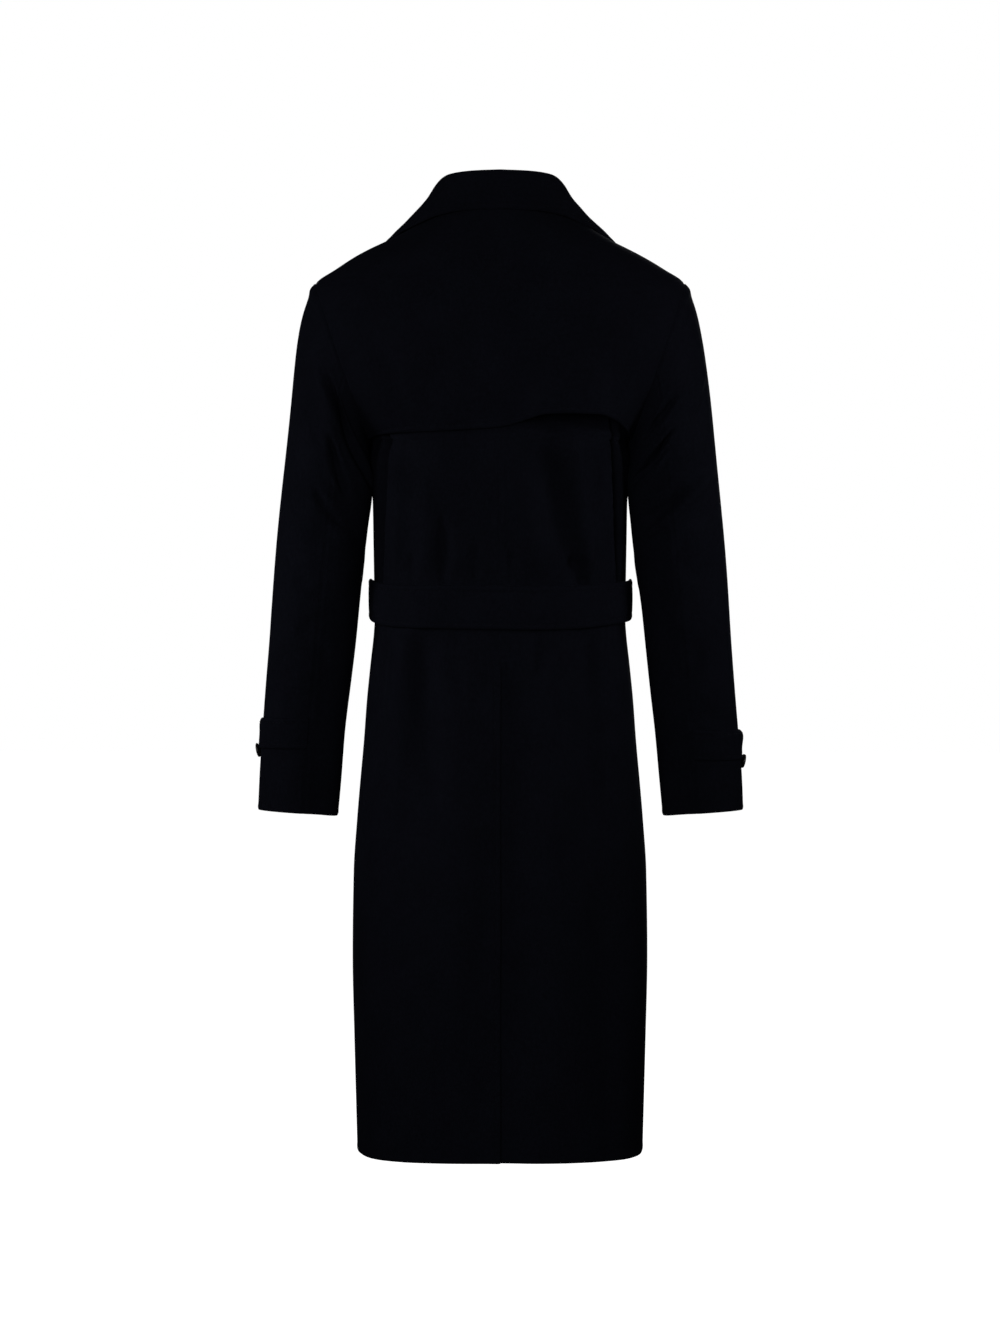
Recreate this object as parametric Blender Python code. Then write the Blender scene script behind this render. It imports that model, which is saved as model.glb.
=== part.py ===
"""A belted double-breasted wool coat, filled out as if worn, with every cut piece its own thin solid.

Metres, +Z up. The front faces -Y and the wearer's left is +X. The origin is at the middle of the neck.
"""
import math

import bmesh
import bpy
import numpy as np

# Cloth thicknesses and the spaces between layers
WALL = 0.0022
FLAP_WALL = 0.0020
COLLAR_WALL = 0.0020
STRAP_WALL = 0.0020
SEAM_GAP = 0.0003
FLAP_LAYER = 0.0036
VENT_LAYER = 0.0040
CROSS_LAYER = 0.0036
REST_GAP = 0.0005
LAPEL_GAP = 0.0016

# Armhole, a loop in a slanting plane from the underarm to the shoulder tip
UNDERARM_X = 0.1580
UNDERARM_Z = -0.280
TIP_X = 0.2245
TIP_Z = -0.086
ARMHOLE_BACK = 0.078
ARMHOLE_FRONT = 0.068
ARMHOLE_SPREAD = 0.75
ARMHOLE_STEPS = 9

# Panels
PANEL_COLUMNS = 10
FRONT_COLUMNS = 13
NECK_EDGE_T = 0.86
HEM_Z = -1.133
VENT_TOP_Z = -0.556
VENT_SLANT = 0.030
VENT_UNDERLAP = 0.045
VENT_SETTLE = 0.045
VENT_EDGE = 0.006
VENT_FADE_LOW = 0.020
VENT_FADE_TOP = 0.050
FLAP_FADE = 0.034
FLAP_EDGE_EASE = 0.002
FLAP_LAST_ROW_Z = -0.240
FLAP_MID_SHARE = 0.55
FLAP_LIFT_REACH = 0.055

# Front crossing and roll line
OVERLAP = 0.090
OVERLAP_FADE = 0.050
OVERLAP_LOW_Z = -0.155
OVERLAP_TOP_Z = -0.100
LAPEL_LAYERS = 1.20
BREAK_Z = -0.372
BREAK_FADE_LOW = 0.050
BREAK_FADE_TOP = 0.010
ROLL_TOP_X = 0.083
ROLL_TOP_Z = -0.020
LAPEL_COLUMNS = 10
LAPEL_ROWS = 11
LAPEL_ROLL = 0.0030
LAPEL_ROLL_REACH = 0.014
LAPEL_FLAT_Z = -0.185
LAPEL_ROLLED_Z = -0.135

# Collar
COLLAR_ROLL = 0.0026
COLLAR_SWELL = 0.0035
COLLAR_LEAF_SHARES = (0.25, 0.5, 0.75, 1.0)
COLLAR_ROLL_OUTLINE = ((2.0, -2.0), (1.85, -0.75), (1.0, 0.0), (0.2, -0.7))
STAND_END = 92.0
COLLAR_END = 128.0
COLLAR_STEPS = 14
STAND_FOOT_Z = -0.0034
STAND_GAP = 0.0012
STAND_LEAST = 0.004

# Sleeve
RING_STEPS = 2 * ARMHOLE_STEPS
HIND_SEAM_STEP = 5
FORE_SEAM_STEP = 13
SLEEVE_PITCH = 0.045
SLEEVE_RADIUS = 0.058
CREASE_FROM_RING = 0.4
CREASE_FULL_RING = 2.0

# Belt
BELT_WIDTH = 0.050
BELT_WALL = 0.0038
BELT_HALF_WIDTH = 0.1570
BELT_BACK_Y = 0.0968
BELT_FRONT_Y = 0.1206
BELT_SQUARE = 0.62
BELT_BACK_Z = -0.4815
BELT_SIDE_Z = -0.4700
BELT_FRONT_Z = -0.4760
BELT_START_T = 0.02
BELT_RISE_FROM_T = -0.42
BELT_RISE_TO_T = -0.16
BELT_END_T = 0.72
BELT_POINT = 0.006
BELT_TIP_SHARE = 0.84
BELT_FRONT_STEPS = 12
BELT_BACK_STEPS = 26
BELT_JOIN_STEPS = 7
BELT_RISE_STEPS = 4
BELT_END_STEPS = 11

# Buckle
BUCKLE_WIDTH = 0.062
BUCKLE_HEIGHT = 0.068
BUCKLE_BAR = 0.0080
BUCKLE_WALL = 0.0040
BUCKLE_CORNER = 0.012
PRONG_WIDTH = 0.0050
PRONG_WALL = 0.0030
PRONG_START_X = 0.006
PRONG_PAST = 0.001
PRONG_STEPS = 5

# Buttons
FRONT_BUTTON_RADIUS = 0.0140
FRONT_BUTTON_WALL = 0.0050
CUFF_BUTTON_RADIUS = 0.0088
CUFF_BUTTON_WALL = 0.0036
BUTTON_STEPS = 20
BUTTON_STAND = 0.0012
BUTTON_SPREAD = 0.072
BUTTON_ROWS = (-0.402, -0.568, -0.712)

# Cuff straps
STRAP_WIDTH = 0.038
STRAP_STEPS = 10
STRAP_POINT_FROM = 0.88
STRAP_POINT_SHARE = 0.84
STRAP_FROM = math.radians(98)
STRAP_TO = math.radians(-62)
STRAP_SWELL = 0.0022
STRAP_FLAT_SHARE = 0.10
STRAP_SWELL_SHARE = 0.40

# Colours and finishes
WOOL = ((0.0040, 0.0044, 0.0075), 0.92)
WOOL_UNDER = ((0.0034, 0.0037, 0.0062), 0.94)
HORN = ((0.0060, 0.0060, 0.0080), 0.25)
LEATHER = ((0.0060, 0.0058, 0.0065), 0.42)


class Table:
    """Rows of sizes with named columns, read smoothly between the rows.

    The first column is the place along the part, rising from row to row.
    """

    def __init__(self, columns, rows):
        self.columns = columns
        self.rows = np.array(rows, dtype=float)

    def column(self, name):
        return self.rows[:, self.columns.index(name)]

    def at(self, name, place):
        """The column's value at a place, along a curve with no overshoot."""
        key = self.rows[:, 0]
        value = self.column(name)
        run = np.diff(key)
        slope = np.diff(value) / run
        bend = np.zeros(len(key))
        same = slope[:-1] * slope[1:] > 0
        inner = np.zeros(len(slope) - 1)
        inner[same] = 2 * slope[:-1][same] * slope[1:][same] / (slope[:-1][same] + slope[1:][same])
        bend[1:-1] = inner
        bend[0] = slope[0]
        bend[-1] = slope[-1]
        place = np.clip(np.asarray(place, dtype=float), key[0], key[-1])
        i = np.clip(np.searchsorted(key, place, side="right") - 1, 0, len(run) - 1)
        u = (place - key[i]) / run[i]
        start = (1 + 2 * u) * (1 - u) ** 2 * value[i] + u * (1 - u) ** 2 * run[i] * bend[i]
        finish = u * u * (3 - 2 * u) * value[i + 1] + u * u * (u - 1) * run[i] * bend[i + 1]
        return start + finish


# Body sections from hem to neck. Between the underarm and the shoulder tip the armhole gives the width.
BODY = Table(
    ("z", "half_width", "back_y", "front_y", "squareness"),
    (
        (-1.133, 0.1735, 0.1400, 0.1360, 0.74),
        (-1.000, 0.1772, 0.1385, 0.1340, 0.73),
        (-0.900, 0.1793, 0.1360, 0.1320, 0.72),
        (-0.800, 0.1780, 0.1315, 0.1290, 0.71),
        (-0.738, 0.1740, 0.1270, 0.1260, 0.70),
        (-0.690, 0.1700, 0.1220, 0.1230, 0.69),
        (-0.640, 0.1655, 0.1160, 0.1200, 0.68),
        (-0.592, 0.1620, 0.1090, 0.1170, 0.67),
        (-0.545, 0.1573, 0.1010, 0.1142, 0.66),
        (-0.510, 0.1535, 0.0952, 0.1132, 0.65),
        (-0.482, 0.1520, 0.0935, 0.1130, 0.64),
        (-0.455, 0.1530, 0.0952, 0.1145, 0.64),
        (-0.400, 0.1540, 0.1015, 0.1200, 0.64),
        (-0.348, 0.1548, 0.1080, 0.1250, 0.64),
        (-0.305, 0.1560, 0.1128, 0.1272, 0.64),
        (-0.280, 0.1580, 0.1150, 0.1280, 0.64),
        (-0.230, 0.1750, 0.1190, 0.1270, 0.63),
        (-0.182, 0.1915, 0.1205, 0.1230, 0.62),
        (-0.130, 0.2094, 0.1165, 0.1160, 0.61),
        (-0.086, 0.2245, 0.1090, 0.1060, 0.60),
        (-0.069, 0.2020, 0.1055, 0.1000, 0.60),
        (-0.057, 0.1830, 0.1025, 0.0950, 0.60),
        (-0.045, 0.1610, 0.0990, 0.0885, 0.59),
        (-0.033, 0.1370, 0.0950, 0.0800, 0.58),
        (-0.019, 0.1110, 0.0895, 0.0700, 0.57),
        (-0.004, 0.0850, 0.0830, 0.0600, 0.56),
    ),
)

# Heights of the panels' cross rows below the armhole and above the shoulder tip
SKIRT_ROWS = (-1.133, -1.060, -0.980, -0.900, -0.825, -0.755, -0.695, -0.645, -0.605, -0.570, -0.538)
WAIST_ROWS = (-0.510, -0.482, -0.455, -0.425, -0.388, -0.350, -0.315)
SHOULDER_ROWS = (-0.069, -0.057, -0.045, -0.033, -0.019, -0.004)

# Sleeve rings from armhole to cuff: outer and inner ends of each ring, and its depth each way from mid_y
SLEEVE = Table(
    ("ring", "outer_x", "outer_z", "inner_x", "inner_z", "mid_y", "back_half", "front_half"),
    (
        (0, 0.2245, -0.086, 0.1580, -0.280, 0.000, 0.0780, 0.0680),
        (1, 0.2325, -0.100, 0.1588, -0.290, 0.000, 0.0780, 0.0690),
        (2, 0.2410, -0.126, 0.1583, -0.303, 0.000, 0.0770, 0.0700),
        (3, 0.2470, -0.158, 0.1577, -0.318, -0.001, 0.0755, 0.0700),
        (4, 0.2522, -0.200, 0.1572, -0.335, -0.002, 0.0735, 0.0690),
        (5, 0.2564, -0.240, 0.1574, -0.354, -0.003, 0.0715, 0.0675),
        (6, 0.2613, -0.290, 0.1602, -0.378, -0.004, 0.0690, 0.0660),
        (7, 0.2663, -0.340, 0.1634, -0.405, -0.005, 0.0665, 0.0640),
        (8, 0.2717, -0.395, 0.1680, -0.440, -0.007, 0.0640, 0.0620),
        (9, 0.2764, -0.450, 0.1726, -0.479, -0.010, 0.0615, 0.0600),
        (10, 0.2810, -0.510, 0.1777, -0.527, -0.015, 0.0585, 0.0580),
        (11, 0.2860, -0.570, 0.1838, -0.580, -0.022, 0.0560, 0.0555),
        (12, 0.2902, -0.625, 0.1899, -0.632, -0.029, 0.0535, 0.0530),
        (13, 0.2944, -0.682, 0.1946, -0.687, -0.036, 0.0515, 0.0510),
        (14, 0.2968, -0.7264, 0.1988, -0.7325, -0.042, 0.0500, 0.0495),
    ),
)

# Collar from centre back round to the front end: the fold at its top and its free edge
COLLAR = Table(
    ("round", "fold_x", "fold_y", "fold_z", "edge_x", "edge_y", "edge_z"),
    (
        (0, 0.0000, 0.0765, 0.0440, 0.0000, 0.0935, 0.0000),
        (20, 0.0320, 0.0735, 0.0432, 0.0375, 0.0900, -0.0005),
        (40, 0.0620, 0.0620, 0.0400, 0.0730, 0.0700, -0.0035),
        (58, 0.0748, 0.0420, 0.0305, 0.1005, 0.0420, -0.0140),
        (75, 0.0818, 0.0170, 0.0215, 0.1205, 0.0180, -0.0205),
        (90, 0.0858, -0.0040, 0.0135, 0.1348, -0.0030, -0.0260),
        (105, 0.0915, -0.0340, -0.0010, 0.1455, -0.0340, -0.0345),
        (118, 0.0870, -0.0675, -0.0220, 0.1440, -0.0610, -0.0490),
        (128, 0.0790, -0.0905, -0.0410, 0.1330, -0.0855, -0.0660),
    ),
)

# Free lower edge of the storm flap, from the wearer's right to left, and how far it lifts off the back
FLAP_EDGE = Table(
    ("x", "z", "lift"),
    (
        (-0.165, -0.2760, 0.0000),
        (-0.140, -0.2640, 0.0020),
        (-0.115, -0.2530, 0.0050),
        (-0.085, -0.2510, 0.0065),
        (-0.053, -0.2520, 0.0055),
        (-0.023, -0.2610, 0.0020),
        (0.000, -0.2670, 0.0006),
        (0.070, -0.2710, 0.0004),
        (0.137, -0.2725, 0.0008),
        (0.165, -0.2760, 0.0000),
    ),
)

# Lapel from its break up to the gorge: height on the roll line, then the free edge
LAPEL = Table(
    ("roll_z", "edge_x", "edge_z"),
    (
        (-0.368, -0.0790, -0.3640),
        (-0.330, -0.0310, -0.3220),
        (-0.270, 0.0320, -0.2620),
        (-0.200, 0.0940, -0.1950),
        (-0.130, 0.1420, -0.1330),
        (-0.085, 0.1600, -0.1070),
        (-0.058, 0.1660, -0.0880),
    ),
)

# Largest folds of the back: a ridge or trough from a top place to a foot place, with width and rise
BACK_FOLDS = (
    ("top_x", "top_z", "foot_x", "foot_z", "width", "rise"),
    (
        (0.134, -0.285, 0.136, -0.430, 0.012, -0.0060),
        (0.116, -0.285, 0.118, -0.425, 0.014, 0.0040),
        (-0.134, -0.280, -0.136, -0.430, 0.010, -0.0030),
        (-0.060, -0.260, -0.085, -0.425, 0.018, -0.0050),
        (-0.030, -0.300, -0.045, -0.420, 0.022, 0.0030),
        (0.068, -0.370, 0.062, -0.428, 0.014, -0.0030),
        (0.086, -0.535, 0.074, -0.700, 0.024, -0.0040),
        (-0.098, -0.535, -0.106, -0.720, 0.024, -0.0040),
        (0.040, -0.600, 0.052, -1.000, 0.034, 0.0030),
        (-0.060, -0.600, -0.066, -1.040, 0.034, 0.0030),
    ),
)

# Largest folds of the fronts, plain and shallow
FRONT_FOLDS = (
    ("top_x", "top_z", "foot_x", "foot_z", "width", "rise"),
    (
        (0.128, -0.300, 0.130, -0.425, 0.014, -0.0040),
        (-0.128, -0.300, -0.130, -0.425, 0.014, -0.0040),
        (0.126, -0.540, 0.130, -0.800, 0.024, -0.0035),
        (-0.126, -0.540, -0.130, -0.800, 0.024, -0.0035),
    ),
)

# Largest creases of the sleeves: side, ring angle and ring number at each end, width and rise
SLEEVE_CREASES = (
    ("side", "from_angle", "from_ring", "to_angle", "to_ring", "width", "rise"),
    (
        (1, 118, 3.4, 150, 6.4, 0.014, -0.0050),
        (1, 70, 6.6, 128, 7.6, 0.016, -0.0035),
        (1, 250, 8.2, 300, 9.4, 0.018, -0.0035),
        (-1, 70, 5.6, 110, 6.2, 0.014, -0.0035),
        (-1, 80, 6.4, 140, 7.8, 0.016, -0.0045),
        (-1, 60, 8.4, 110, 9.0, 0.014, -0.0030),
        (-1, 250, 8.2, 300, 9.4, 0.018, -0.0035),
    ),
)

# Cuff straps and their buttons: side, height of the strap's upper edge, ring angle and height of the button
CUFFS = (
    ("side", "strap_z", "button_angle", "button_z", "button_tilt"),
    (
        (1, -0.6120, -8.0, -0.6590, 22.0),
        (-1, -0.6250, -8.0, -0.6690, 22.0),
    ),
)


def named_rows(table):
    """The rows of a plain table as dictionaries by column name."""
    columns, rows = table
    return [dict(zip(columns, row)) for row in rows]


def ease(low, high, value):
    """A smooth step from 0 at low to 1 at high."""
    u = np.clip((np.asarray(value, dtype=float) - low) / (high - low), 0, 1)
    return u * u * (3 - 2 * u)


def unit(vectors):
    """The vectors at length one."""
    return vectors / np.maximum(np.linalg.norm(vectors, axis=-1, keepdims=True), 1e-12)


# The body's surface

ARM_MID = np.array(((UNDERARM_X + TIP_X) / 2, 0.0, (UNDERARM_Z + TIP_Z) / 2))
ARM_HALF = np.array(((TIP_X - UNDERARM_X) / 2, 0.0, (TIP_Z - UNDERARM_Z) / 2))
ARM_NORMAL = unit(np.array((ARM_HALF[2], 0.0, -ARM_HALF[0])))


def armhole_turn(z):
    """Angle round the armhole, 0 at the underarm and pi at the shoulder tip."""
    return np.arccos(np.clip((ARM_MID[2] - np.asarray(z, dtype=float)) / ARM_HALF[2], -1, 1))


def side_edge(face, z):
    """Where a section ends at the side seam, armhole or shoulder seam, and how it turns there."""
    turn = armhole_turn(z)
    inside = (z > UNDERARM_Z) & (z < TIP_Z)
    slanted = ARM_MID[0] - ARM_HALF[0] * np.cos(turn)
    edge_x = np.where(inside, slanted, BODY.at("half_width", z))
    deep = ARMHOLE_BACK if face > 0 else ARMHOLE_FRONT
    edge_y = np.where(inside, deep * np.sin(turn), 0.0)
    spread = np.where(inside, ARMHOLE_SPREAD * np.sin(turn), 0.0)
    return edge_x, edge_y, spread


def section(face, t, z):
    """A plain body point: face +1 is the back and -1 the front, t runs from the middle to each side."""
    t = np.asarray(t, dtype=float)
    z = np.asarray(z, dtype=float)
    s = np.abs(t)
    edge_x, edge_y, spread = side_edge(face, z)
    deep = BODY.at("back_y" if face > 0 else "front_y", z)
    square = BODY.at("squareness", z)
    rise = square * (deep - edge_y)
    a = (1 - s) ** 3
    b = 3 * (1 - s) ** 2 * s
    c = 3 * (1 - s) * s * s
    d = s ** 3
    x = b * square * edge_x + c * (edge_x - rise * spread) + d * edge_x
    y = (a + b) * deep + c * (edge_y + rise) + d * edge_y
    return np.stack((np.sign(t) * x, face * y, z), axis=-1)


def fold_rise(face, points):
    """How far the folds move the cloth out at each point."""
    total = np.zeros(points.shape[:-1])
    for row in named_rows(BACK_FOLDS if face > 0 else FRONT_FOLDS):
        along = (row["top_z"] - points[..., 2]) / (row["top_z"] - row["foot_z"])
        middle = row["top_x"] + (row["foot_x"] - row["top_x"]) * np.clip(along, 0, 1)
        across = (points[..., 0] - middle) / row["width"]
        window = ease(-0.15, 0.25, along) * (1 - ease(0.75, 1.1, along))
        total += row["rise"] * window * np.exp(-across * across)
    return total


def outward(face, t, z):
    """The direction straight out of the cloth."""
    step_t = 0.004
    step_z = 0.0015
    t_low = np.clip(t - step_t, -1, 1)
    t_high = np.clip(t + step_t, -1, 1)
    z_low = np.clip(z - step_z, HEM_Z, SHOULDER_ROWS[-1])
    z_high = np.clip(z + step_z, HEM_Z, SHOULDER_ROWS[-1])
    across = section(face, t_high, z) - section(face, t_low, z)
    along = section(face, t, z_high) - section(face, t, z_low)
    normal = unit(np.cross(across, along)) * -face
    at_seam = (np.abs(t) > 0.999) & ((z <= UNDERARM_Z) | (z >= TIP_Z))
    normal[..., 1] = np.where(at_seam, 0.0, normal[..., 1])
    return unit(normal)


def cloth(face, t, z, out):
    """A point of the body's cloth, moved out from the plain section by its folds and by a distance."""
    t, z, out = np.broadcast_arrays(np.asarray(t, float), np.asarray(z, float), np.asarray(out, float))
    plain = section(face, t, z)
    normal = outward(face, t, z)
    return plain + normal * (fold_rise(face, plain) + out)[..., None]


def place_across(face, x, z):
    """The t at which a section passes a given x."""
    x, z = np.broadcast_arrays(np.asarray(x, float), np.asarray(z, float))
    result = np.zeros(x.shape)
    steps = np.linspace(0, 1, 161)
    for i in np.ndindex(x.shape):
        line = section(face, steps, np.full(steps.shape, z[i]))
        result[i] = np.sign(x[i]) * np.interp(abs(x[i]), line[:, 0], steps)
    return result


def armhole_rows():
    """Heights of the rows between the underarm and the shoulder tip, evenly round the armhole."""
    turns = np.linspace(0, math.pi, ARMHOLE_STEPS + 1)
    return ARM_MID[2] - ARM_HALF[2] * np.cos(turns)


def panel_rows():
    """Heights of every cross row of a panel, from hem to neck."""
    return np.concatenate((SKIRT_ROWS, WAIST_ROWS, armhole_rows(), SHOULDER_ROWS))


def in_armhole(z):
    """Whether a row ends on the armhole."""
    return (z >= UNDERARM_Z - 1e-6) & (z <= TIP_Z + 1e-6)


def finish_side(outer, inner, face, z, wall):
    """Moves a panel's side column back from its seam and mitres its armhole edge."""
    half = SEAM_GAP / 2
    side = 1.0 if outer[0, -1, 0] > 0 else -1.0
    centre = ARM_MID * (side, 1, 1)
    away = ARM_NORMAL * (side, 1, 1)
    for i in range(len(z)):
        if in_armhole(z[i]):
            outer[i, -1] -= away * half
            inner[i, -1] = outer[i, -1] + unit(centre - outer[i, -1]) * wall
        for grid in (outer, inner):
            grid[i, -1, 1] = face * max(face * grid[i, -1, 1], half)


# Making solids


def material(name, finish):
    """A plain finish in one colour."""
    colour, rough = finish
    made = bpy.data.materials.new(name)
    made.use_nodes = True
    shader = made.node_tree.nodes["Principled BSDF"]
    shader.inputs["Base Color"].default_value = (*colour, 1.0)
    shader.inputs["Roughness"].default_value = rough
    shader.inputs["Metallic"].default_value = 0.0
    return made


def solid(name, points, faces, finish):
    """One closed body facing out, with its own finish."""
    mesh = bpy.data.meshes.new(name)
    mesh.from_pydata([tuple(map(float, p)) for p in points], [], faces)
    work = bmesh.new()
    work.from_mesh(mesh)
    bmesh.ops.triangulate(work, faces=work.faces[:])
    if work.calc_volume(signed=True) < 0:
        bmesh.ops.reverse_faces(work, faces=work.faces[:])
    work.to_mesh(mesh)
    work.free()
    made = bpy.data.objects.new(name, mesh)
    bpy.context.scene.collection.objects.link(made)
    mesh.materials.append(material(name, finish))
    return made


def sheet(name, outer, inner, finish):
    """A closed sheet between an outer and an inner grid of points."""
    rows, columns = outer.shape[:2]
    points = np.concatenate((outer.reshape(-1, 3), inner.reshape(-1, 3)))
    back = rows * columns
    faces = []
    for i in range(rows - 1):
        for j in range(columns - 1):
            a = i * columns + j
            b = a + 1
            c = a + columns + 1
            d = a + columns
            faces.append((a, b, c, d))
            faces.append((back + a, back + d, back + c, back + b))
    rim = [j for j in range(columns)]
    rim += [i * columns + columns - 1 for i in range(1, rows)]
    rim += [(rows - 1) * columns + j for j in range(columns - 2, -1, -1)]
    rim += [i * columns for i in range(rows - 2, 0, -1)]
    for k, a in enumerate(rim):
        b = rim[(k + 1) % len(rim)]
        faces.append((b, a, back + a, back + b))
    return solid(name, points, faces, finish)


def turned(name, profile, steps, centre, facing, finish):
    """A round body from a profile of radius and height, facing along a direction."""
    facing = unit(np.asarray(facing, dtype=float))
    up = np.array((0.0, 0.0, 1.0))
    side = unit(np.cross(up, facing))
    up = np.cross(facing, side)
    points = []
    faces = []
    for radius, height in profile:
        for k in range(steps):
            angle = 2 * math.pi * k / steps
            points.append(centre + facing * height + radius * (side * math.cos(angle) + up * math.sin(angle)))
    for r in range(len(profile) - 1):
        for k in range(steps):
            n = (k + 1) % steps
            faces.append((r * steps + k, r * steps + n, (r + 1) * steps + n, (r + 1) * steps + k))
    faces.append(tuple(range(steps - 1, -1, -1)))
    last = (len(profile) - 1) * steps
    faces.append(tuple(range(last, last + steps)))
    return solid(name, points, faces, finish)


# The pieces


def flap_inset(points):
    """How far the back lies in under the storm flap."""
    edge = FLAP_EDGE.at("z", points[..., 0])
    return FLAP_LAYER * ease(edge - FLAP_FADE, edge - FLAP_EDGE_EASE, points[..., 2])


def vent_inset(points):
    """How far the right back lies in under the left back beside the vent."""
    high = 1 - ease(VENT_TOP_Z + VENT_FADE_LOW, VENT_TOP_Z + VENT_FADE_TOP, points[..., 2])
    near = ease(-VENT_SETTLE, -VENT_EDGE, points[..., 0])
    return VENT_LAYER * high * near


def back_panel(side):
    """Half of the back, with the vent's underlap on the right half."""
    z = panel_rows()
    grid_z = np.repeat(z[:, None], PANEL_COLUMNS + 1, axis=1)
    start = np.zeros(len(z))
    if side < 0:
        under = VENT_UNDERLAP * ease(VENT_TOP_Z, VENT_TOP_Z - VENT_SLANT, z)
        start = place_across(1, under, z)
    share = np.linspace(0, 1, PANEL_COLUMNS + 1)[None, :]
    t = start[:, None] + (side - start[:, None]) * share
    plain = section(1, t, grid_z)
    inset = flap_inset(plain)
    if side < 0:
        inset = inset + vent_inset(plain)
    outer = cloth(1, t, grid_z, -inset)
    inner = cloth(1, t, grid_z, -inset - WALL)
    finish_side(outer, inner, 1, z, WALL)
    shift = np.where(np.abs(start) < 1e-9, side * SEAM_GAP / 2, 0.0)
    outer[:, 0, 0] += shift
    inner[:, 0, 0] += shift
    name = "back_left" if side > 0 else "back_right"
    return sheet(name, outer, inner, WOOL)


def storm_flap():
    """The flap over the upper back, sewn in at neck, shoulders and armholes and free below."""
    upper = panel_rows()
    upper = upper[upper > FLAP_LAST_ROW_Z][::-1]
    t = np.linspace(-1, 1, 2 * PANEL_COLUMNS + 1)
    edge_x = section(1, t, np.full(t.shape, FLAP_EDGE.column("z").mean()))[:, 0]
    edge = FLAP_EDGE.at("z", edge_x)
    lift = FLAP_EDGE.at("lift", edge_x)
    rows = [np.full(t.shape, z) for z in upper]
    rows.append(upper[-1] + (edge - upper[-1]) * FLAP_MID_SHARE)
    rows.append(edge)
    z = np.stack(rows)
    grid_t = np.repeat(t[None, :], len(z), axis=0)
    low = ease(FLAP_LIFT_REACH, 0.0, z - edge[None, :])
    out = lift[None, :] * low
    outer = cloth(1, grid_t, z, out)
    inner = cloth(1, grid_t, z, out - FLAP_WALL)
    finish_side(outer, inner, 1, z[:, -1], FLAP_WALL)
    finish_side(outer[:, ::-1], inner[:, ::-1], 1, z[:, 0], FLAP_WALL)
    return sheet("storm_flap", outer, inner, WOOL)


def roll_x(z):
    """The roll line's distance past the middle for the left front."""
    share = (ROLL_TOP_Z - np.asarray(z, dtype=float)) / (ROLL_TOP_Z - BREAK_Z)
    return ROLL_TOP_X - (ROLL_TOP_X + OVERLAP) * np.clip(share, -0.1, 1)


def front_lift(side, points):
    """How far the left front stands out over the right front and its lapel."""
    if side < 0:
        return np.zeros(points.shape[:-1])
    layers = 1 + LAPEL_LAYERS * ease(BREAK_Z - BREAK_FADE_LOW, BREAK_Z + BREAK_FADE_TOP, points[..., 2])
    crossing = 1 - ease(OVERLAP, OVERLAP + OVERLAP_FADE, points[..., 0])
    return CROSS_LAYER * layers * crossing * (1 - ease(OVERLAP_LOW_Z, OVERLAP_TOP_Z, points[..., 2]))


def front_panel(side):
    """A front from its side seam to its roll line and crossing edge."""
    z = panel_rows()
    grid_z = np.repeat(z[:, None], FRONT_COLUMNS + 1, axis=1)
    start = np.minimum(place_across(-1, roll_x(z), z), NECK_EDGE_T) * side
    share = np.linspace(0, 1, FRONT_COLUMNS + 1)[None, :]
    t = start[:, None] + (side - start[:, None]) * share
    plain = section(-1, t, grid_z)
    lift = front_lift(side, plain)
    outer = cloth(-1, t, grid_z, lift)
    inner = cloth(-1, t, grid_z, lift - WALL)
    finish_side(outer, inner, -1, z, WALL)
    name = "front_left" if side > 0 else "front_right"
    return sheet(name, outer, inner, WOOL)


def lapel(side):
    """A lapel turned back over its front along the roll line."""
    roll_z = np.linspace(LAPEL.column("roll_z")[0], LAPEL.column("roll_z")[-1], LAPEL_ROWS)
    share = np.linspace(0, 1, LAPEL_COLUMNS)[None, :]
    start_x = roll_x(roll_z)[:, None]
    x = start_x + (LAPEL.at("edge_x", roll_z)[:, None] - start_x) * share
    z = roll_z[:, None] + (LAPEL.at("edge_z", roll_z) - roll_z)[:, None] * share
    t = place_across(-1, x * side, z)
    plain = section(-1, t, z)
    roll = LAPEL_ROLL * np.exp(-((x - start_x) / LAPEL_ROLL_REACH) ** 2)
    if side < 0:
        roll = roll * ease(LAPEL_FLAT_Z, LAPEL_ROLLED_Z, z)
    out = front_lift(side, plain) + WALL + LAPEL_GAP + roll
    outer = cloth(-1, t, z, out)
    inner = cloth(-1, t, z, out - WALL)
    name = "lapel_left" if side > 0 else "lapel_right"
    return sheet(name, outer, inner, WOOL)


def collar_ring(limit):
    """Angles round the collar from the wearer's right front to the left front."""
    return np.linspace(-limit, limit, 2 * COLLAR_STEPS + 1)


def collar_places(angles):
    """Fold and edge points of the collar at each angle."""
    away = np.abs(angles)
    sign = np.where(angles < 0, -1.0, 1.0)
    places = []
    for part in ("fold", "edge"):
        x = COLLAR.at(part + "_x", away) * sign
        y = COLLAR.at(part + "_y", away)
        z = COLLAR.at(part + "_z", away)
        places.append(np.stack((x, y, z), axis=-1))
    return places


def collar_inward(angles):
    """Level directions from the collar's fold towards the neck's middle."""
    fold = collar_places(angles)[0]
    ahead = collar_places(angles + 1.0)[0]
    behind = collar_places(angles - 1.0)[0]
    along = ahead - behind
    along[:, 2] = 0.0
    away = unit(np.cross(along, (0.0, 0.0, 1.0)))
    flip = np.sign((away * fold).sum(axis=1, keepdims=True))
    return -away * np.where(flip == 0, 1.0, flip)


def grid_normals(grid):
    """Directions across a grid of points, from its own rows and columns."""
    down = np.gradient(grid, axis=0)
    across = np.gradient(grid, axis=1)
    return unit(np.cross(across, down))


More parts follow.
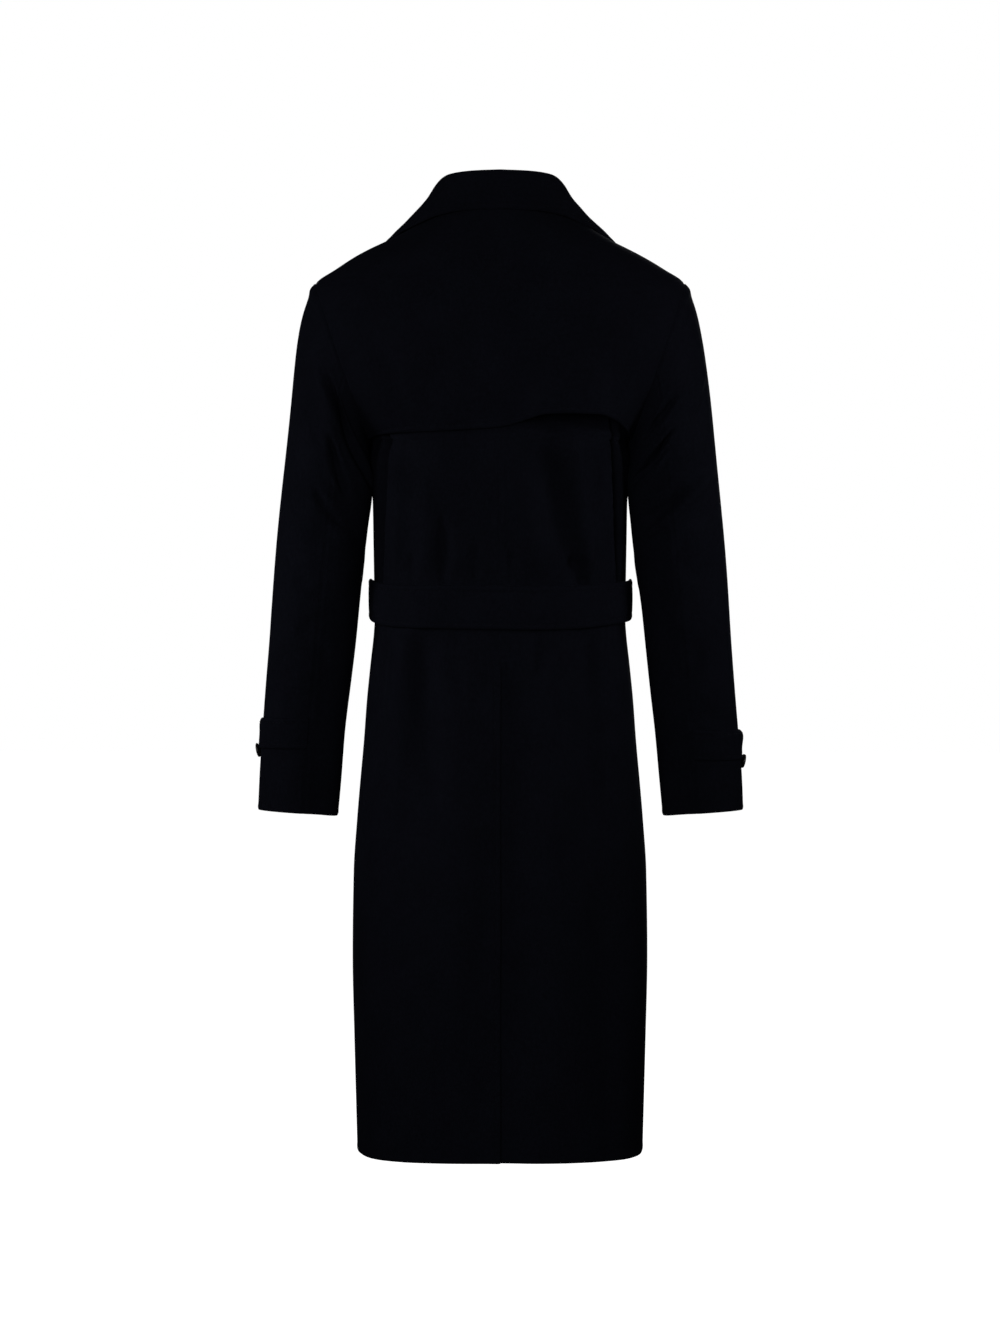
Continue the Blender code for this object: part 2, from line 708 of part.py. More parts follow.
def collar_fall():
    """The collar's outer leaf, rolled over at its fold and spread on the shoulders."""
    angles = collar_ring(COLLAR_END)
    fold, edge = collar_places(angles)
    inward = collar_inward(angles)
    up = np.array((0.0, 0.0, 1.0))
    rows = []
    for across, high in COLLAR_ROLL_OUTLINE:
        rows.append(fold + inward * across * COLLAR_ROLL + up * high * COLLAR_ROLL)
    start = rows[-1]
    slope = unit(np.cross(edge - start, np.gradient(fold, axis=0)))
    slope *= np.sign((slope * -inward).sum(axis=1, keepdims=True))
    for share in COLLAR_LEAF_SHARES:
        swell = COLLAR_SWELL * math.sin(math.pi * share) ** 0.8 if share < 1 else 0.0
        rows.append(start + (edge - start) * share + slope * swell)
    outer = np.stack(rows)
    normal = grid_normals(outer)
    if (normal[-2, COLLAR_STEPS] * (0.0, 1.0, 0.0)).sum() < 0:
        normal = -normal
    inner = outer - normal * COLLAR_WALL
    return sheet("collar_fall", outer, inner, WOOL)


def collar_stand():
    """The collar's stand, from the neck seam up into the fold."""
    angles = collar_ring(STAND_END)
    fold = collar_places(angles)[0]
    inward = collar_inward(angles)
    up = np.array((0.0, 0.0, 1.0))
    top = fold + inward * 2.0 * COLLAR_ROLL - up * (2.0 * COLLAR_ROLL + STAND_GAP)
    turn = np.radians(angles)
    deep = np.where(np.cos(turn) > 0, BODY.column("back_y")[-1], BODY.column("front_y")[-1])
    foot_x = (BODY.column("half_width")[-1] - 0.5 * WALL) * np.sin(turn)
    foot_y = (deep - 0.5 * WALL) * np.cos(turn)
    foot = np.stack((foot_x, foot_y, np.full(turn.shape, STAND_FOOT_Z)), axis=-1)
    top[:, 2] = np.maximum(top[:, 2], STAND_FOOT_Z + STAND_LEAST)
    inner = np.stack([foot + (top - foot) * share for share in (0.0, 0.5, 1.0)])
    outer = inner - inward[None] * COLLAR_WALL
    return sheet("collar_stand", outer, inner, WOOL_UNDER)


def sleeve_plain(side, angle, ring):
    """A plain sleeve point: angle 0 is the outer side, a quarter turn the back, a half turn the inside."""
    angle, ring = np.broadcast_arrays(np.asarray(angle, float), np.asarray(ring, float))
    outer_x = SLEEVE.at("outer_x", ring)
    outer_z = SLEEVE.at("outer_z", ring)
    inner_x = SLEEVE.at("inner_x", ring)
    inner_z = SLEEVE.at("inner_z", ring)
    back = SLEEVE.at("back_half", ring)
    front = SLEEVE.at("front_half", ring)
    swing = np.cos(angle)
    x = (outer_x + inner_x) / 2 + (outer_x - inner_x) / 2 * swing
    z = (outer_z + inner_z) / 2 + (outer_z - inner_z) / 2 * swing
    y = SLEEVE.at("mid_y", ring) + np.where(np.sin(angle) > 0, back, front) * np.sin(angle)
    return np.stack((side * x, y, z), axis=-1)


def sleeve_rise(side, angle, ring):
    """How far the creases move the sleeve's cloth out."""
    total = np.zeros(np.broadcast(angle, ring).shape)
    degrees = np.degrees(angle) % 360
    for row in named_rows(SLEEVE_CREASES):
        if row["side"] != side:
            continue
        start = np.array((math.radians(row["from_angle"]) * SLEEVE_RADIUS, row["from_ring"] * SLEEVE_PITCH))
        stop = np.array((math.radians(row["to_angle"]) * SLEEVE_RADIUS, row["to_ring"] * SLEEVE_PITCH))
        place = np.stack((np.radians(degrees) * SLEEVE_RADIUS, ring * SLEEVE_PITCH), axis=-1)
        length = ((stop - start) ** 2).sum()
        along = ((place - start) * (stop - start)).sum(axis=-1) / length
        nearest = start + np.clip(along, 0, 1)[..., None] * (stop - start)
        away = np.linalg.norm(place - nearest, axis=-1) / row["width"]
        total += row["rise"] * np.exp(-away * away)
    return total * ease(CREASE_FROM_RING, CREASE_FULL_RING, ring)


def sleeve_cloth(side, angle, ring, out):
    """A point of the sleeve's cloth, moved out from the plain sleeve."""
    angle, ring = np.broadcast_arrays(np.asarray(angle, float), np.asarray(ring, float))
    last = SLEEVE.rows[-1, 0]
    across = sleeve_plain(side, angle + 0.01, ring) - sleeve_plain(side, angle - 0.01, ring)
    along = sleeve_plain(side, angle, np.minimum(ring + 0.03, last))
    along = along - sleeve_plain(side, angle, np.maximum(ring - 0.03, 0))
    normal = unit(np.cross(across, along)) * -side
    plain = sleeve_plain(side, angle, ring)
    rise = sleeve_rise(side, angle, ring) + out
    return plain + normal * rise[..., None]


def sleeve_piece(side, part):
    """The top or the under piece of a sleeve, from armhole to cuff."""
    if part == "top":
        steps = np.arange(FORE_SEAM_STEP - RING_STEPS, HIND_SEAM_STEP + 1)
    else:
        steps = np.arange(HIND_SEAM_STEP, FORE_SEAM_STEP + 1)
    angle = steps * 2 * math.pi / RING_STEPS
    angle[0] += SEAM_GAP / 2 / SLEEVE_RADIUS
    angle[-1] -= SEAM_GAP / 2 / SLEEVE_RADIUS
    ring = np.arange(len(SLEEVE.rows), dtype=float)
    grid_angle, grid_ring = np.meshgrid(angle, ring)
    outer = sleeve_cloth(side, grid_angle, grid_ring, 0.0 * grid_ring)
    inner = sleeve_cloth(side, grid_angle, grid_ring, 0.0 * grid_ring - WALL)
    away = ARM_NORMAL * (side, 1, 1)
    centre = ARM_MID * (side, 1, 1)
    outer[0] = sleeve_plain(side, angle, 0.0) + away * SEAM_GAP / 2
    inner[0] = outer[0] + unit(centre - outer[0]) * WALL
    inner[0] += away * ((centre - inner[0]) @ away + SEAM_GAP / 2)[:, None]
    name = "sleeve_" + part + ("_left" if side > 0 else "_right")
    return sheet(name, outer, inner, WOOL)


def ring_at(side, angle, z):
    """The ring number at which the sleeve's outer line passes a height."""
    rings = np.linspace(0, SLEEVE.rows[-1, 0], 281)
    heights = sleeve_plain(side, np.full(rings.shape, angle), rings)[:, 2]
    return float(np.interp(-z, -heights, rings))


def cuff_strap(side, row):
    """A strap from the hind seam round the outer side of the sleeve, ending in a point."""
    share = np.linspace(0, 1, STRAP_STEPS + 1)
    angles = STRAP_FROM + (STRAP_TO - STRAP_FROM) * share
    outer = np.zeros((3, STRAP_STEPS + 1, 3))
    inner = np.zeros((3, STRAP_STEPS + 1, 3))
    for j, angle in enumerate(angles):
        end = STRAP_POINT_SHARE * ease(STRAP_POINT_FROM, 1.0, share[j])
        for i, across in enumerate((0.0, 0.5, 1.0)):
            down = across + (0.5 - across) * end
            ring = ring_at(side, angle, row["strap_z"] - STRAP_WIDTH * down)
            rest = REST_GAP + STRAP_SWELL * (1 - down) * ease(STRAP_FLAT_SHARE, STRAP_SWELL_SHARE, share[j])
            inner[i, j] = sleeve_cloth(side, np.array(angle), np.array(ring), np.array(rest))
            outer[i, j] = sleeve_cloth(side, np.array(angle), np.array(ring), np.array(rest + STRAP_WALL))
    name = "cuff_strap_left" if side > 0 else "cuff_strap_right"
    return sheet(name, outer, inner, WOOL)


def button_profile(radius, wall):
    """Radius and height of a button's outline from its back to its face."""
    return (
        (0.72 * radius, 0.0),
        (0.97 * radius, 0.30 * wall),
        (radius, 0.62 * wall),
        (0.93 * radius, wall),
        (0.74 * radius, 0.90 * wall),
    )


def cuff_button(side, row):
    """A button on the strap, tipped out at its top."""
    angle = np.array(math.radians(row["button_angle"]))
    ring = np.array(ring_at(side, float(angle), row["button_z"]))
    place = sleeve_cloth(side, angle, ring, np.array(0.0))
    above = sleeve_cloth(side, angle, ring, np.array(1.0))
    facing = unit(above - place)
    tilt = math.radians(row["button_tilt"])
    facing = unit(facing * math.cos(tilt) - np.array((0.0, 0.0, 1.0)) * math.sin(tilt))
    stand = REST_GAP + CUFF_BUTTON_RADIUS * math.sin(tilt)
    centre = place + unit(above - place) * stand
    name = "cuff_button_left" if side > 0 else "cuff_button_right"
    profile = button_profile(CUFF_BUTTON_RADIUS, CUFF_BUTTON_WALL)
    return turned(name, profile, BUTTON_STEPS, centre, facing, HORN)


def front_buttons():
    """Two columns of buttons on the left front."""
    number = 0
    for z in BUTTON_ROWS:
        for side in (-1, 1):
            number += 1
            t = place_across(-1, side * BUTTON_SPREAD, z)
            plain = section(-1, t, z)
            facing = outward(-1, t, np.array(z))
            reach = front_lift(1, plain) + fold_rise(-1, plain) + BUTTON_STAND
            profile = button_profile(FRONT_BUTTON_RADIUS, FRONT_BUTTON_WALL)
            turned(f"front_button_{number}", profile, BUTTON_STEPS, plain + facing * reach, facing, HORN)


def belt_point(face, t, across, out):
    """A point of the belt's path, which spans the hollows of the cloth below it."""
    s = abs(t)
    deep = BELT_BACK_Y if face > 0 else BELT_FRONT_Y
    middle = BELT_BACK_Z if face > 0 else BELT_FRONT_Z
    half = BELT_HALF_WIDTH + out
    deep = deep + out
    b = 3 * (1 - s) ** 2 * s
    c = 3 * (1 - s) * s * s
    d = s ** 3
    x = b * BELT_SQUARE * half + c * half + d * half
    y = ((1 - s) ** 3 + b) * deep + c * BELT_SQUARE * deep
    z = middle + (BELT_SIDE_Z - middle) * s * s + (0.5 - across) * BELT_WIDTH
    return np.array((math.copysign(x, t), face * y, z))


def belt():
    """One strip from the buckle's bar round the waist and on through the buckle to a pointed end."""
    path = [(-1, t, 0.0) for t in np.linspace(BELT_START_T, 1, BELT_FRONT_STEPS + 1)]
    path += [(1, t, 0.0) for t in np.linspace(1, -1, BELT_BACK_STEPS + 1)[1:]]
    path += [(-1, t, 0.0) for t in np.linspace(-1, BELT_RISE_FROM_T, BELT_JOIN_STEPS + 1)[1:]]
    over = BELT_WALL + REST_GAP
    for t in np.linspace(BELT_RISE_FROM_T, BELT_RISE_TO_T, BELT_RISE_STEPS + 1)[1:]:
        path.append((-1, t, over * float(ease(BELT_RISE_FROM_T, BELT_RISE_TO_T, t))))
    path += [(-1, t, over) for t in np.linspace(BELT_RISE_TO_T, BELT_END_T, BELT_END_STEPS + 1)[1:]]
    outer = np.zeros((3, len(path), 3))
    inner = np.zeros((3, len(path), 3))
    for j, (face, t, out) in enumerate(path):
        narrow = BELT_TIP_SHARE if j == len(path) - 1 else 0.0
        for i, across in enumerate((0.0, 0.5, 1.0)):
            place = across + (0.5 - across) * narrow
            inner[i, j] = belt_point(face, t, place, out)
            outer[i, j] = belt_point(face, t, place, out + BELT_WALL)
    tip = outer[:, -1] - outer[:, -2]
    outer[1, -1] += unit(tip[1]) * BELT_POINT
    inner[1, -1] += unit(tip[1]) * BELT_POINT
    return sheet("belt", outer, inner, WOOL)


def buckle():
    """A rounded frame in front of the belt and a prong across it."""
    face_y = -(BELT_FRONT_Y + 2 * BELT_WALL + 2 * REST_GAP)
    outline = []
    for quarter in range(4):
        for k in range(5):
            angle = math.pi / 2 * (quarter + k / 4)
            wide = BUCKLE_WIDTH / 2 - BUCKLE_CORNER
            high = BUCKLE_HEIGHT / 2 - BUCKLE_CORNER
            corner_x = wide if quarter in (0, 3) else -wide
            corner_z = high if quarter in (0, 1) else -high
            outline.append((corner_x, corner_z, math.cos(angle), math.sin(angle)))
    edges = (
        (BUCKLE_CORNER, 0.0),
        (BUCKLE_CORNER, BUCKLE_WALL * 0.65),
        (BUCKLE_CORNER - BUCKLE_BAR * 0.25, BUCKLE_WALL),
        (BUCKLE_CORNER - BUCKLE_BAR * 0.75, BUCKLE_WALL),
        (BUCKLE_CORNER - BUCKLE_BAR, BUCKLE_WALL * 0.65),
        (BUCKLE_CORNER - BUCKLE_BAR, 0.0),
    )
    points = []
    faces = []
    for corner_x, corner_z, across, up in outline:
        for reach, out in edges:
            points.append((corner_x + across * reach, face_y - out, BELT_FRONT_Z + corner_z + up * reach))
    size = len(edges)
    for k in range(len(outline)):
        n = (k + 1) % len(outline)
        for e in range(size):
            f = (e + 1) % size
            faces.append((k * size + e, n * size + e, n * size + f, k * size + f))
    solid("buckle_frame", points, faces, LEATHER)
    reach_x = -(BUCKLE_WIDTH / 2 + PRONG_PAST)
    shares = np.linspace(0, 1, PRONG_STEPS + 1)
    outer = np.zeros((2, PRONG_STEPS + 1, 3))
    inner = np.zeros((2, PRONG_STEPS + 1, 3))
    for j, share in enumerate(shares):
        over = (BUCKLE_WALL + SEAM_GAP) * float(ease(0.45, 0.72, share))
        x = PRONG_START_X + (reach_x - PRONG_START_X) * share
        for i, up in enumerate((-0.5, 0.5)):
            z = BELT_FRONT_Z + up * PRONG_WIDTH
            inner[i, j] = (x, face_y - over, z)
            outer[i, j] = (x, face_y - over - PRONG_WALL, z)
    sheet("buckle_prong", outer, inner, LEATHER)


def main():
    """Builds every piece of the coat."""
    for thing in list(bpy.data.objects):
        bpy.data.objects.remove(thing, do_unlink=True)
    for side in (1, -1):
        back_panel(side)
        front_panel(side)
        lapel(side)
        sleeve_piece(side, "top")
        sleeve_piece(side, "under")
    storm_flap()
    collar_stand()
    collar_fall()
    belt()
    buckle()
    for row in named_rows(CUFFS):
        cuff_strap(row["side"], row)
        cuff_button(row["side"], row)
    front_buttons()


main()
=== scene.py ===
"""The looks of a belted double-breasted wool coat, filled out as if worn.

Metres, +Z up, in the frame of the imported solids: the front faces -Y, the wearer's left is +X, and the origin
is at the middle of the neck. Each cut piece is a thin closed shell on its solid's form, with its own creases,
rolled edges and stitching.
"""
from __future__ import annotations

import logging
import math
from dataclasses import dataclass, field
from enum import Enum
from typing import Any, Sequence

import bmesh
import bpy
import numpy as np
from mathutils import Matrix, Vector


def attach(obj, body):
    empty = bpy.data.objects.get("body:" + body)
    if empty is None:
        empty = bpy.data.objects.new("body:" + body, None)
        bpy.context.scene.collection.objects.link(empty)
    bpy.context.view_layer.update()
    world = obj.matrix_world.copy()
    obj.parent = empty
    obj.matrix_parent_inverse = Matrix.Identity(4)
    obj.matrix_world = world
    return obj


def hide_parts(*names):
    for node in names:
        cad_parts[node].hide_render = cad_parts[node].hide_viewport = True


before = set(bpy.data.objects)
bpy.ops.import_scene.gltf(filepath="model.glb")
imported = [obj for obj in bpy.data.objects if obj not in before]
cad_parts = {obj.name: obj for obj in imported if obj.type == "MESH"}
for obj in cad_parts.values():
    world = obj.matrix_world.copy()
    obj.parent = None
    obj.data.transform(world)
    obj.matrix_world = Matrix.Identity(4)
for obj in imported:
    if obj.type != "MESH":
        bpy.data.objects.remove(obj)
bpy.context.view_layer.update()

log = logging.getLogger("coat")

Piece = bpy.types.Object
Floats = np.ndarray
Values = float | np.ndarray
Place = tuple[float, float]
Triple = tuple[float, float, float]
Faces = list[tuple[int, ...]]
UP = np.array((0.0, 0.0, 1.0))
BODY_NAME = "root"


def ease(low: Values, high: Values, value: Values) -> Floats:
    """A smooth step.

    Args:
        low: where the step is 0.
        high: where the step is 1.
        value: the places asked for.
    Returns:
        The step at each place.
    """
    u = np.clip((np.asarray(value, dtype=float) - low) / (np.asarray(high, dtype=float) - low), 0, 1)
    return u * u * (3 - 2 * u)


def bell(distance: Values, width: Values) -> Floats:
    """A soft bump of height one.

    Args:
        distance: how far each place is from the bump's middle.
        width: where the bump has fallen to about a third.
    Returns:
        The bump's height at each place.
    """
    u = np.asarray(distance, dtype=float) / width
    return np.exp(-u * u)


def unit(vectors: Floats) -> Floats:
    """The vectors at length one."""
    return vectors / np.maximum(np.linalg.norm(vectors, axis=-1, keepdims=True), 1e-12)


def matched(*values: Values) -> Sequence[Floats]:
    """The values as arrays of one shape."""
    return np.broadcast_arrays(*[np.asarray(value, dtype=float) for value in values])


def turns(count: int) -> Floats:
    """Even turns round a full circle."""
    return np.arange(count) * 2 * math.pi / count


def ring_points(radius: float, height: float, count: int) -> list[Triple]:
    """Points round a level ring."""
    return [(radius * math.cos(turn), radius * math.sin(turn), height) for turn in turns(count)]


def read_line(line: Floats, far: Floats, at: Values) -> Floats:
    """Points or directions along a line.

    Args:
        line: the line's points or directions.
        far: how far along each of them is.
        at: the distances asked for.
    Returns:
        The points or directions there.
    """
    return np.stack([np.interp(at, far, line[:, k]) for k in range(3)], axis=-1)


class Face(Enum):
    """The half of the body that a panel is on, by the sign of its Y."""

    BACK = 1
    FRONT = -1


class Side(Enum):
    """The wearer's side, by the sign of its X."""

    LEFT = 1
    RIGHT = -1

    @property
    def word(self) -> str:
        """The side as part of a piece's name."""
        return self.name.lower()


class Border(Enum):
    """The four borders of a grid of cloth."""

    FIRST = "first row"
    LAST = "last row"
    START = "first column"
    END = "last column"


# The points of a grid along each border
BORDER_LINES = {
    Border.FIRST: np.s_[0, :],
    Border.LAST: np.s_[-1, :],
    Border.START: np.s_[:, 0],
    Border.END: np.s_[:, -1],
}


class EdgeKind(Enum):
    """How a border of a piece is finished."""

    SEAM = "sewn to its neighbour"
    SET_IN = "sewn into the armhole, and eased full"
    TURNED = "turned in and pressed"
    STITCHED = "turned in, with a row of stitches beside it"
    COVERED = "under another piece"


class Held(Enum):
    """How a piece of cloth is held."""

    HUNG = "hung"
    FOLDED = "folded"
    STRETCHED = "stretched"


class SleevePart(Enum):
    """The two pieces of a sleeve."""

    TOP = "top"
    UNDER = "under"


@dataclass(frozen=True)
class Table:
    """Rows of sizes with named columns, read smoothly between the rows.

    The first column is the place along the piece, rising from row to row.
    """

    columns: tuple[str, ...]
    rows: tuple[tuple[float, ...], ...]

    def column(self, name: str) -> Floats:
        """One column's values."""
        return np.array([row[self.columns.index(name)] for row in self.rows], dtype=float)

    def at(self, name: str, place: Values) -> Floats:
        """A column's value between the rows, along a curve with no overshoot.

        Args:
            name: the column.
            place: the places along the piece.
        Returns:
            The value at each place.
        """
        key = self.column(self.columns[0])
        value = self.column(name)
        run = np.diff(key)
        slope = np.diff(value) / run
        bend = np.concatenate((slope[:1], np.zeros(len(slope) - 1), slope[-1:]))
        same = slope[:-1] * slope[1:] > 0
        both = slope[:-1][same] + slope[1:][same]
        bend[1:-1][same] = 2 * slope[:-1][same] * slope[1:][same] / both
        place = np.clip(np.asarray(place, dtype=float), key[0], key[-1])
        i = np.clip(np.searchsorted(key, place, side="right") - 1, 0, len(run) - 1)
        u = (place - key[i]) / run[i]
        begin = (1 + 2 * u) * (1 - u) ** 2 * value[i] + u * (1 - u) ** 2 * run[i] * bend[i]
        finish = u * u * (3 - 2 * u) * value[i + 1] + u * u * (u - 1) * run[i] * bend[i + 1]
        return begin + finish


# How a crease fades in at both ends, and the place, width and depth of the banks beside it, in its widths
CREASE_FADE = (-0.16, 0.28)
CREASE_BANK = (2.1, 0.95, 0.2)


@dataclass(frozen=True)
class Crease:
    """A soft trough or ridge, placed by x and z on the body and by degrees and ring on a sleeve.

    A negative rise is a trough. The bow is how far its middle swings aside, and the lean makes one
    bank steeper.
    """

    start: Place
    end: Place
    width: float
    rise: float
    bow: float = 0.0
    lean: float = 0.0

    def lift(self, across: Floats, along: Floats, start: Place, end: Place) -> Floats:
        """How far the crease moves the cloth out.

        Args:
            across: places across the cloth, in metres.
            along: places along the cloth, in metres.
            start: the crease's start in the same metres.
            end: the crease's end in the same metres.
        Returns:
            The rise at each place.
        """
        run = np.array((end[0] - start[0], end[1] - start[1]))
        length = float(np.hypot(run[0], run[1]))
        way = run / length
        share = ((across - start[0]) * way[0] + (along - start[1]) * way[1]) / length
        inside = np.clip(share, 0, 1)
        aside = (across - start[0]) * way[1] - (along - start[1]) * way[0]
        aside = aside - self.bow * 4 * inside * (1 - inside)
        u = aside / (self.width * (0.55 + 0.45 * np.sin(math.pi * inside)))
        u = u * (1 + self.lean * np.tanh(u))
        window = ease(*CREASE_FADE, share) * ease(*CREASE_FADE, 1 - share)
        uneven = 1 + 0.2 * np.sin(8.0 * share + 60 * start[0])
        away, width, depth = CREASE_BANK
        banks = depth * (bell(u - away, width) + bell(u + away, width))
        return self.rise * window * uneven * (bell(u, 1.0) - banks)


# The coat's sizes: those of its solids, a little more exact at the sides, collar, flap and hem

BODY_SECTIONS = Table(
    ("z", "half_width", "back_y", "front_y", "squareness"),
    (
        (-1.133, 0.1735, 0.14, 0.136, 0.74),
        (-1.0, 0.1772, 0.1385, 0.134, 0.73),
        (-0.9, 0.1793, 0.136, 0.132, 0.72),
        (-0.8, 0.178, 0.1315, 0.129, 0.71),
        (-0.738, 0.174, 0.127, 0.126, 0.7),
        (-0.69, 0.17, 0.122, 0.123, 0.69),
        (-0.64, 0.1655, 0.116, 0.12, 0.68),
        (-0.592, 0.162, 0.109, 0.117, 0.67),
        (-0.545, 0.1573, 0.101, 0.1142, 0.66),
        (-0.51, 0.1535, 0.0952, 0.1132, 0.65),
        (-0.482, 0.152, 0.0935, 0.113, 0.64),
        (-0.455, 0.153, 0.0952, 0.1145, 0.64),
        (-0.4, 0.154, 0.1015, 0.12, 0.64),
        (-0.348, 0.155, 0.108, 0.125, 0.64),
        (-0.328, 0.1582, 0.1104, 0.1262, 0.64),
        (-0.302, 0.16, 0.1131, 0.1273, 0.64),
        (-0.28, 0.158, 0.115, 0.128, 0.64),
        (-0.23, 0.175, 0.119, 0.127, 0.63),
        (-0.182, 0.1915, 0.1205, 0.123, 0.62),
        (-0.13, 0.2094, 0.1165, 0.116, 0.61),
        (-0.086, 0.2245, 0.109, 0.106, 0.6),
        (-0.069, 0.202, 0.1055, 0.1, 0.6),
        (-0.057, 0.183, 0.1025, 0.095, 0.6),
        (-0.045, 0.161, 0.099, 0.0885, 0.59),
        (-0.033, 0.137, 0.095, 0.08, 0.58),
        (-0.019, 0.111, 0.0895, 0.07, 0.57),
        (-0.004, 0.085, 0.083, 0.06, 0.56),
    ),
)

SLEEVE_RINGS = Table(
    ("ring", "outer_x", "outer_z", "inner_x", "inner_z", "mid_y", "back_half", "front_half"),
    (
        (0, 0.2245, -0.086, 0.158, -0.28, 0.0, 0.078, 0.068),
        (1, 0.2325, -0.1, 0.158, -0.29, 0.0, 0.078, 0.069),
        (2, 0.241, -0.126, 0.1582, -0.303, 0.0, 0.077, 0.07),
        (3, 0.247, -0.158, 0.1574, -0.318, -0.001, 0.0755, 0.07),
        (4, 0.2522, -0.2, 0.1558, -0.335, -0.002, 0.0735, 0.069),
        (5, 0.2564, -0.24, 0.1578, -0.354, -0.003, 0.0715, 0.0675),
        (6, 0.2613, -0.29, 0.1612, -0.378, -0.004, 0.069, 0.066),
        (7, 0.2663, -0.34, 0.164, -0.405, -0.005, 0.0665, 0.064),
        (8, 0.2717, -0.395, 0.168, -0.44, -0.007, 0.064, 0.062),
        (9, 0.2764, -0.45, 0.1726, -0.479, -0.01, 0.0615, 0.06),
        (10, 0.281, -0.51, 0.1777, -0.527, -0.015, 0.0585, 0.058),
        (11, 0.286, -0.57, 0.1838, -0.58, -0.022, 0.056, 0.0555),
        (12, 0.2902, -0.625, 0.1899, -0.632, -0.029, 0.0535, 0.053),
        (13, 0.2944, -0.682, 0.1946, -0.687, -0.036, 0.0515, 0.051),
        (14, 0.2968, -0.7264, 0.1988, -0.7325, -0.042, 0.05, 0.0495),
    ),
)

COLLAR_LINES = Table(
    ("round", "fold_x", "fold_y", "fold_z", "edge_x", "edge_y", "edge_z"),
    (
        (0, 0.0, 0.0765, 0.044, 0.0, 0.0862, -0.0046),
        (20, 0.0325, 0.0735, 0.0432, 0.0384, 0.0786, -0.0048),
        (40, 0.064, 0.061, 0.0402, 0.0742, 0.0574, -0.0082),
        (58, 0.0785, 0.041, 0.0312, 0.1005, 0.0395, -0.0166),
        (75, 0.0832, 0.0165, 0.0218, 0.1205, 0.017, -0.0222),
        (90, 0.0848, -0.004, 0.013, 0.1392, -0.003, -0.0317),
        (105, 0.0896, -0.034, -0.0016, 0.148, -0.034, -0.0417),
        (118, 0.087, -0.0675, -0.022, 0.1448, -0.061, -0.0536),
        (128, 0.079, -0.0905, -0.041, 0.133, -0.0855, -0.07),
    ),
)

FLAP_EDGE = Table(
    ("x", "z", "lift"),
    (
        (-0.165, -0.278, 0.0),
        (-0.148, -0.264, 0.005),
        (-0.132, -0.2545, 0.01),
        (-0.112, -0.2485, 0.013),
        (-0.085, -0.249, 0.014),
        (-0.053, -0.251, 0.011),
        (-0.023, -0.261, 0.003),
        (0.0, -0.267, 0.0006),
        (0.07, -0.271, 0.0004),
        (0.137, -0.2725, 0.0008),
        (0.165, -0.276, 0.0),
    ),
)

LAPEL_LINES = Table(
    ("roll_z", "edge_x", "edge_z"),
    (
        (-0.368, -0.079, -0.364),
        (-0.33, -0.031, -0.322),
        (-0.27, 0.032, -0.262),
        (-0.2, 0.094, -0.195),
        (-0.13, 0.142, -0.133),
        (-0.085, 0.16, -0.107),
        (-0.058, 0.166, -0.088),
    ),
)

# Creases, as the back shows them, with plain ones like them on the sides that aren't seen


def creases(*rows: tuple[float, ...]) -> tuple[Crease, ...]:
    """Creases from rows of two numbers for the start, two for the end, width, rise, bow and lean."""
    return tuple(Crease(row[:2], row[2:4], *row[4:]) for row in rows)


BACK_CREASES = creases(
    (0.142, -0.25, 0.144, -0.458, 0.0072, -0.019, 0, 0.15),
    (0.123, -0.28, 0.124, -0.44, 0.013, 0.005),
    (-0.141, -0.25, -0.143, -0.456, 0.0052, -0.015, 0, -0.2),
    (-0.125, -0.29, -0.127, -0.44, 0.01, 0.0034),
    (-0.03, -0.256, -0.144, -0.26, 0.019, -0.016, 0.003),
    (-0.052, -0.245, -0.087, -0.446, 0.02, -0.0088, -0.008),
    (-0.09, -0.29, -0.113, -0.43, 0.014, 0.0045, -0.006),
    (-0.025, -0.3, -0.042, -0.43, 0.022, 0.0045),
    (0.07, -0.372, 0.067, -0.452, 0.008, -0.0054),
    (0.09, -0.33, 0.088, -0.44, 0.013, 0.0036),
    (0.028, -0.405, 0.031, -0.452, 0.007, -0.0024),
    (-0.012, -0.412, -0.01, -0.452, 0.006, -0.0021),
    (-0.086, -0.42, -0.101, -0.458, 0.01, -0.009),
    (0.105, -0.415, 0.104, -0.455, 0.006, -0.0024),
    (0.088, -0.498, 0.078, -0.7, 0.02, -0.0075, -0.005),
    (-0.101, -0.498, -0.108, -0.735, 0.02, -0.0078, 0.004),
    (0.114, -0.505, 0.123, -0.69, 0.015, 0.0045),
    (-0.072, -0.505, -0.062, -0.76, 0.02, 0.0051),
    (0.052, -0.5, 0.048, -0.6, 0.01, -0.003),
    (-0.044, -0.5, -0.042, -0.59, 0.009, -0.0027),
    (0.018, -0.502, 0.02, -0.56, 0.008, 0.0018),
    (-0.13, -0.502, -0.134, -0.6, 0.008, -0.003),
    (0.136, -0.502, 0.14, -0.61, 0.008, -0.0033),
    (0.042, -0.6, 0.056, -1.05, 0.034, 0.0054, 0.006),
    (-0.062, -0.64, -0.07, -1.07, 0.034, 0.0051, -0.005),
    (0.108, -0.72, 0.123, -1.12, 0.026, -0.0051, -0.004),
    (-0.118, -0.78, -0.13, -1.125, 0.026, -0.006, 0.006),
    (0.016, -0.8, 0.022, -1.1, 0.02, -0.0027),
    (-0.028, -0.84, -0.032, -1.11, 0.02, -0.0024),
)

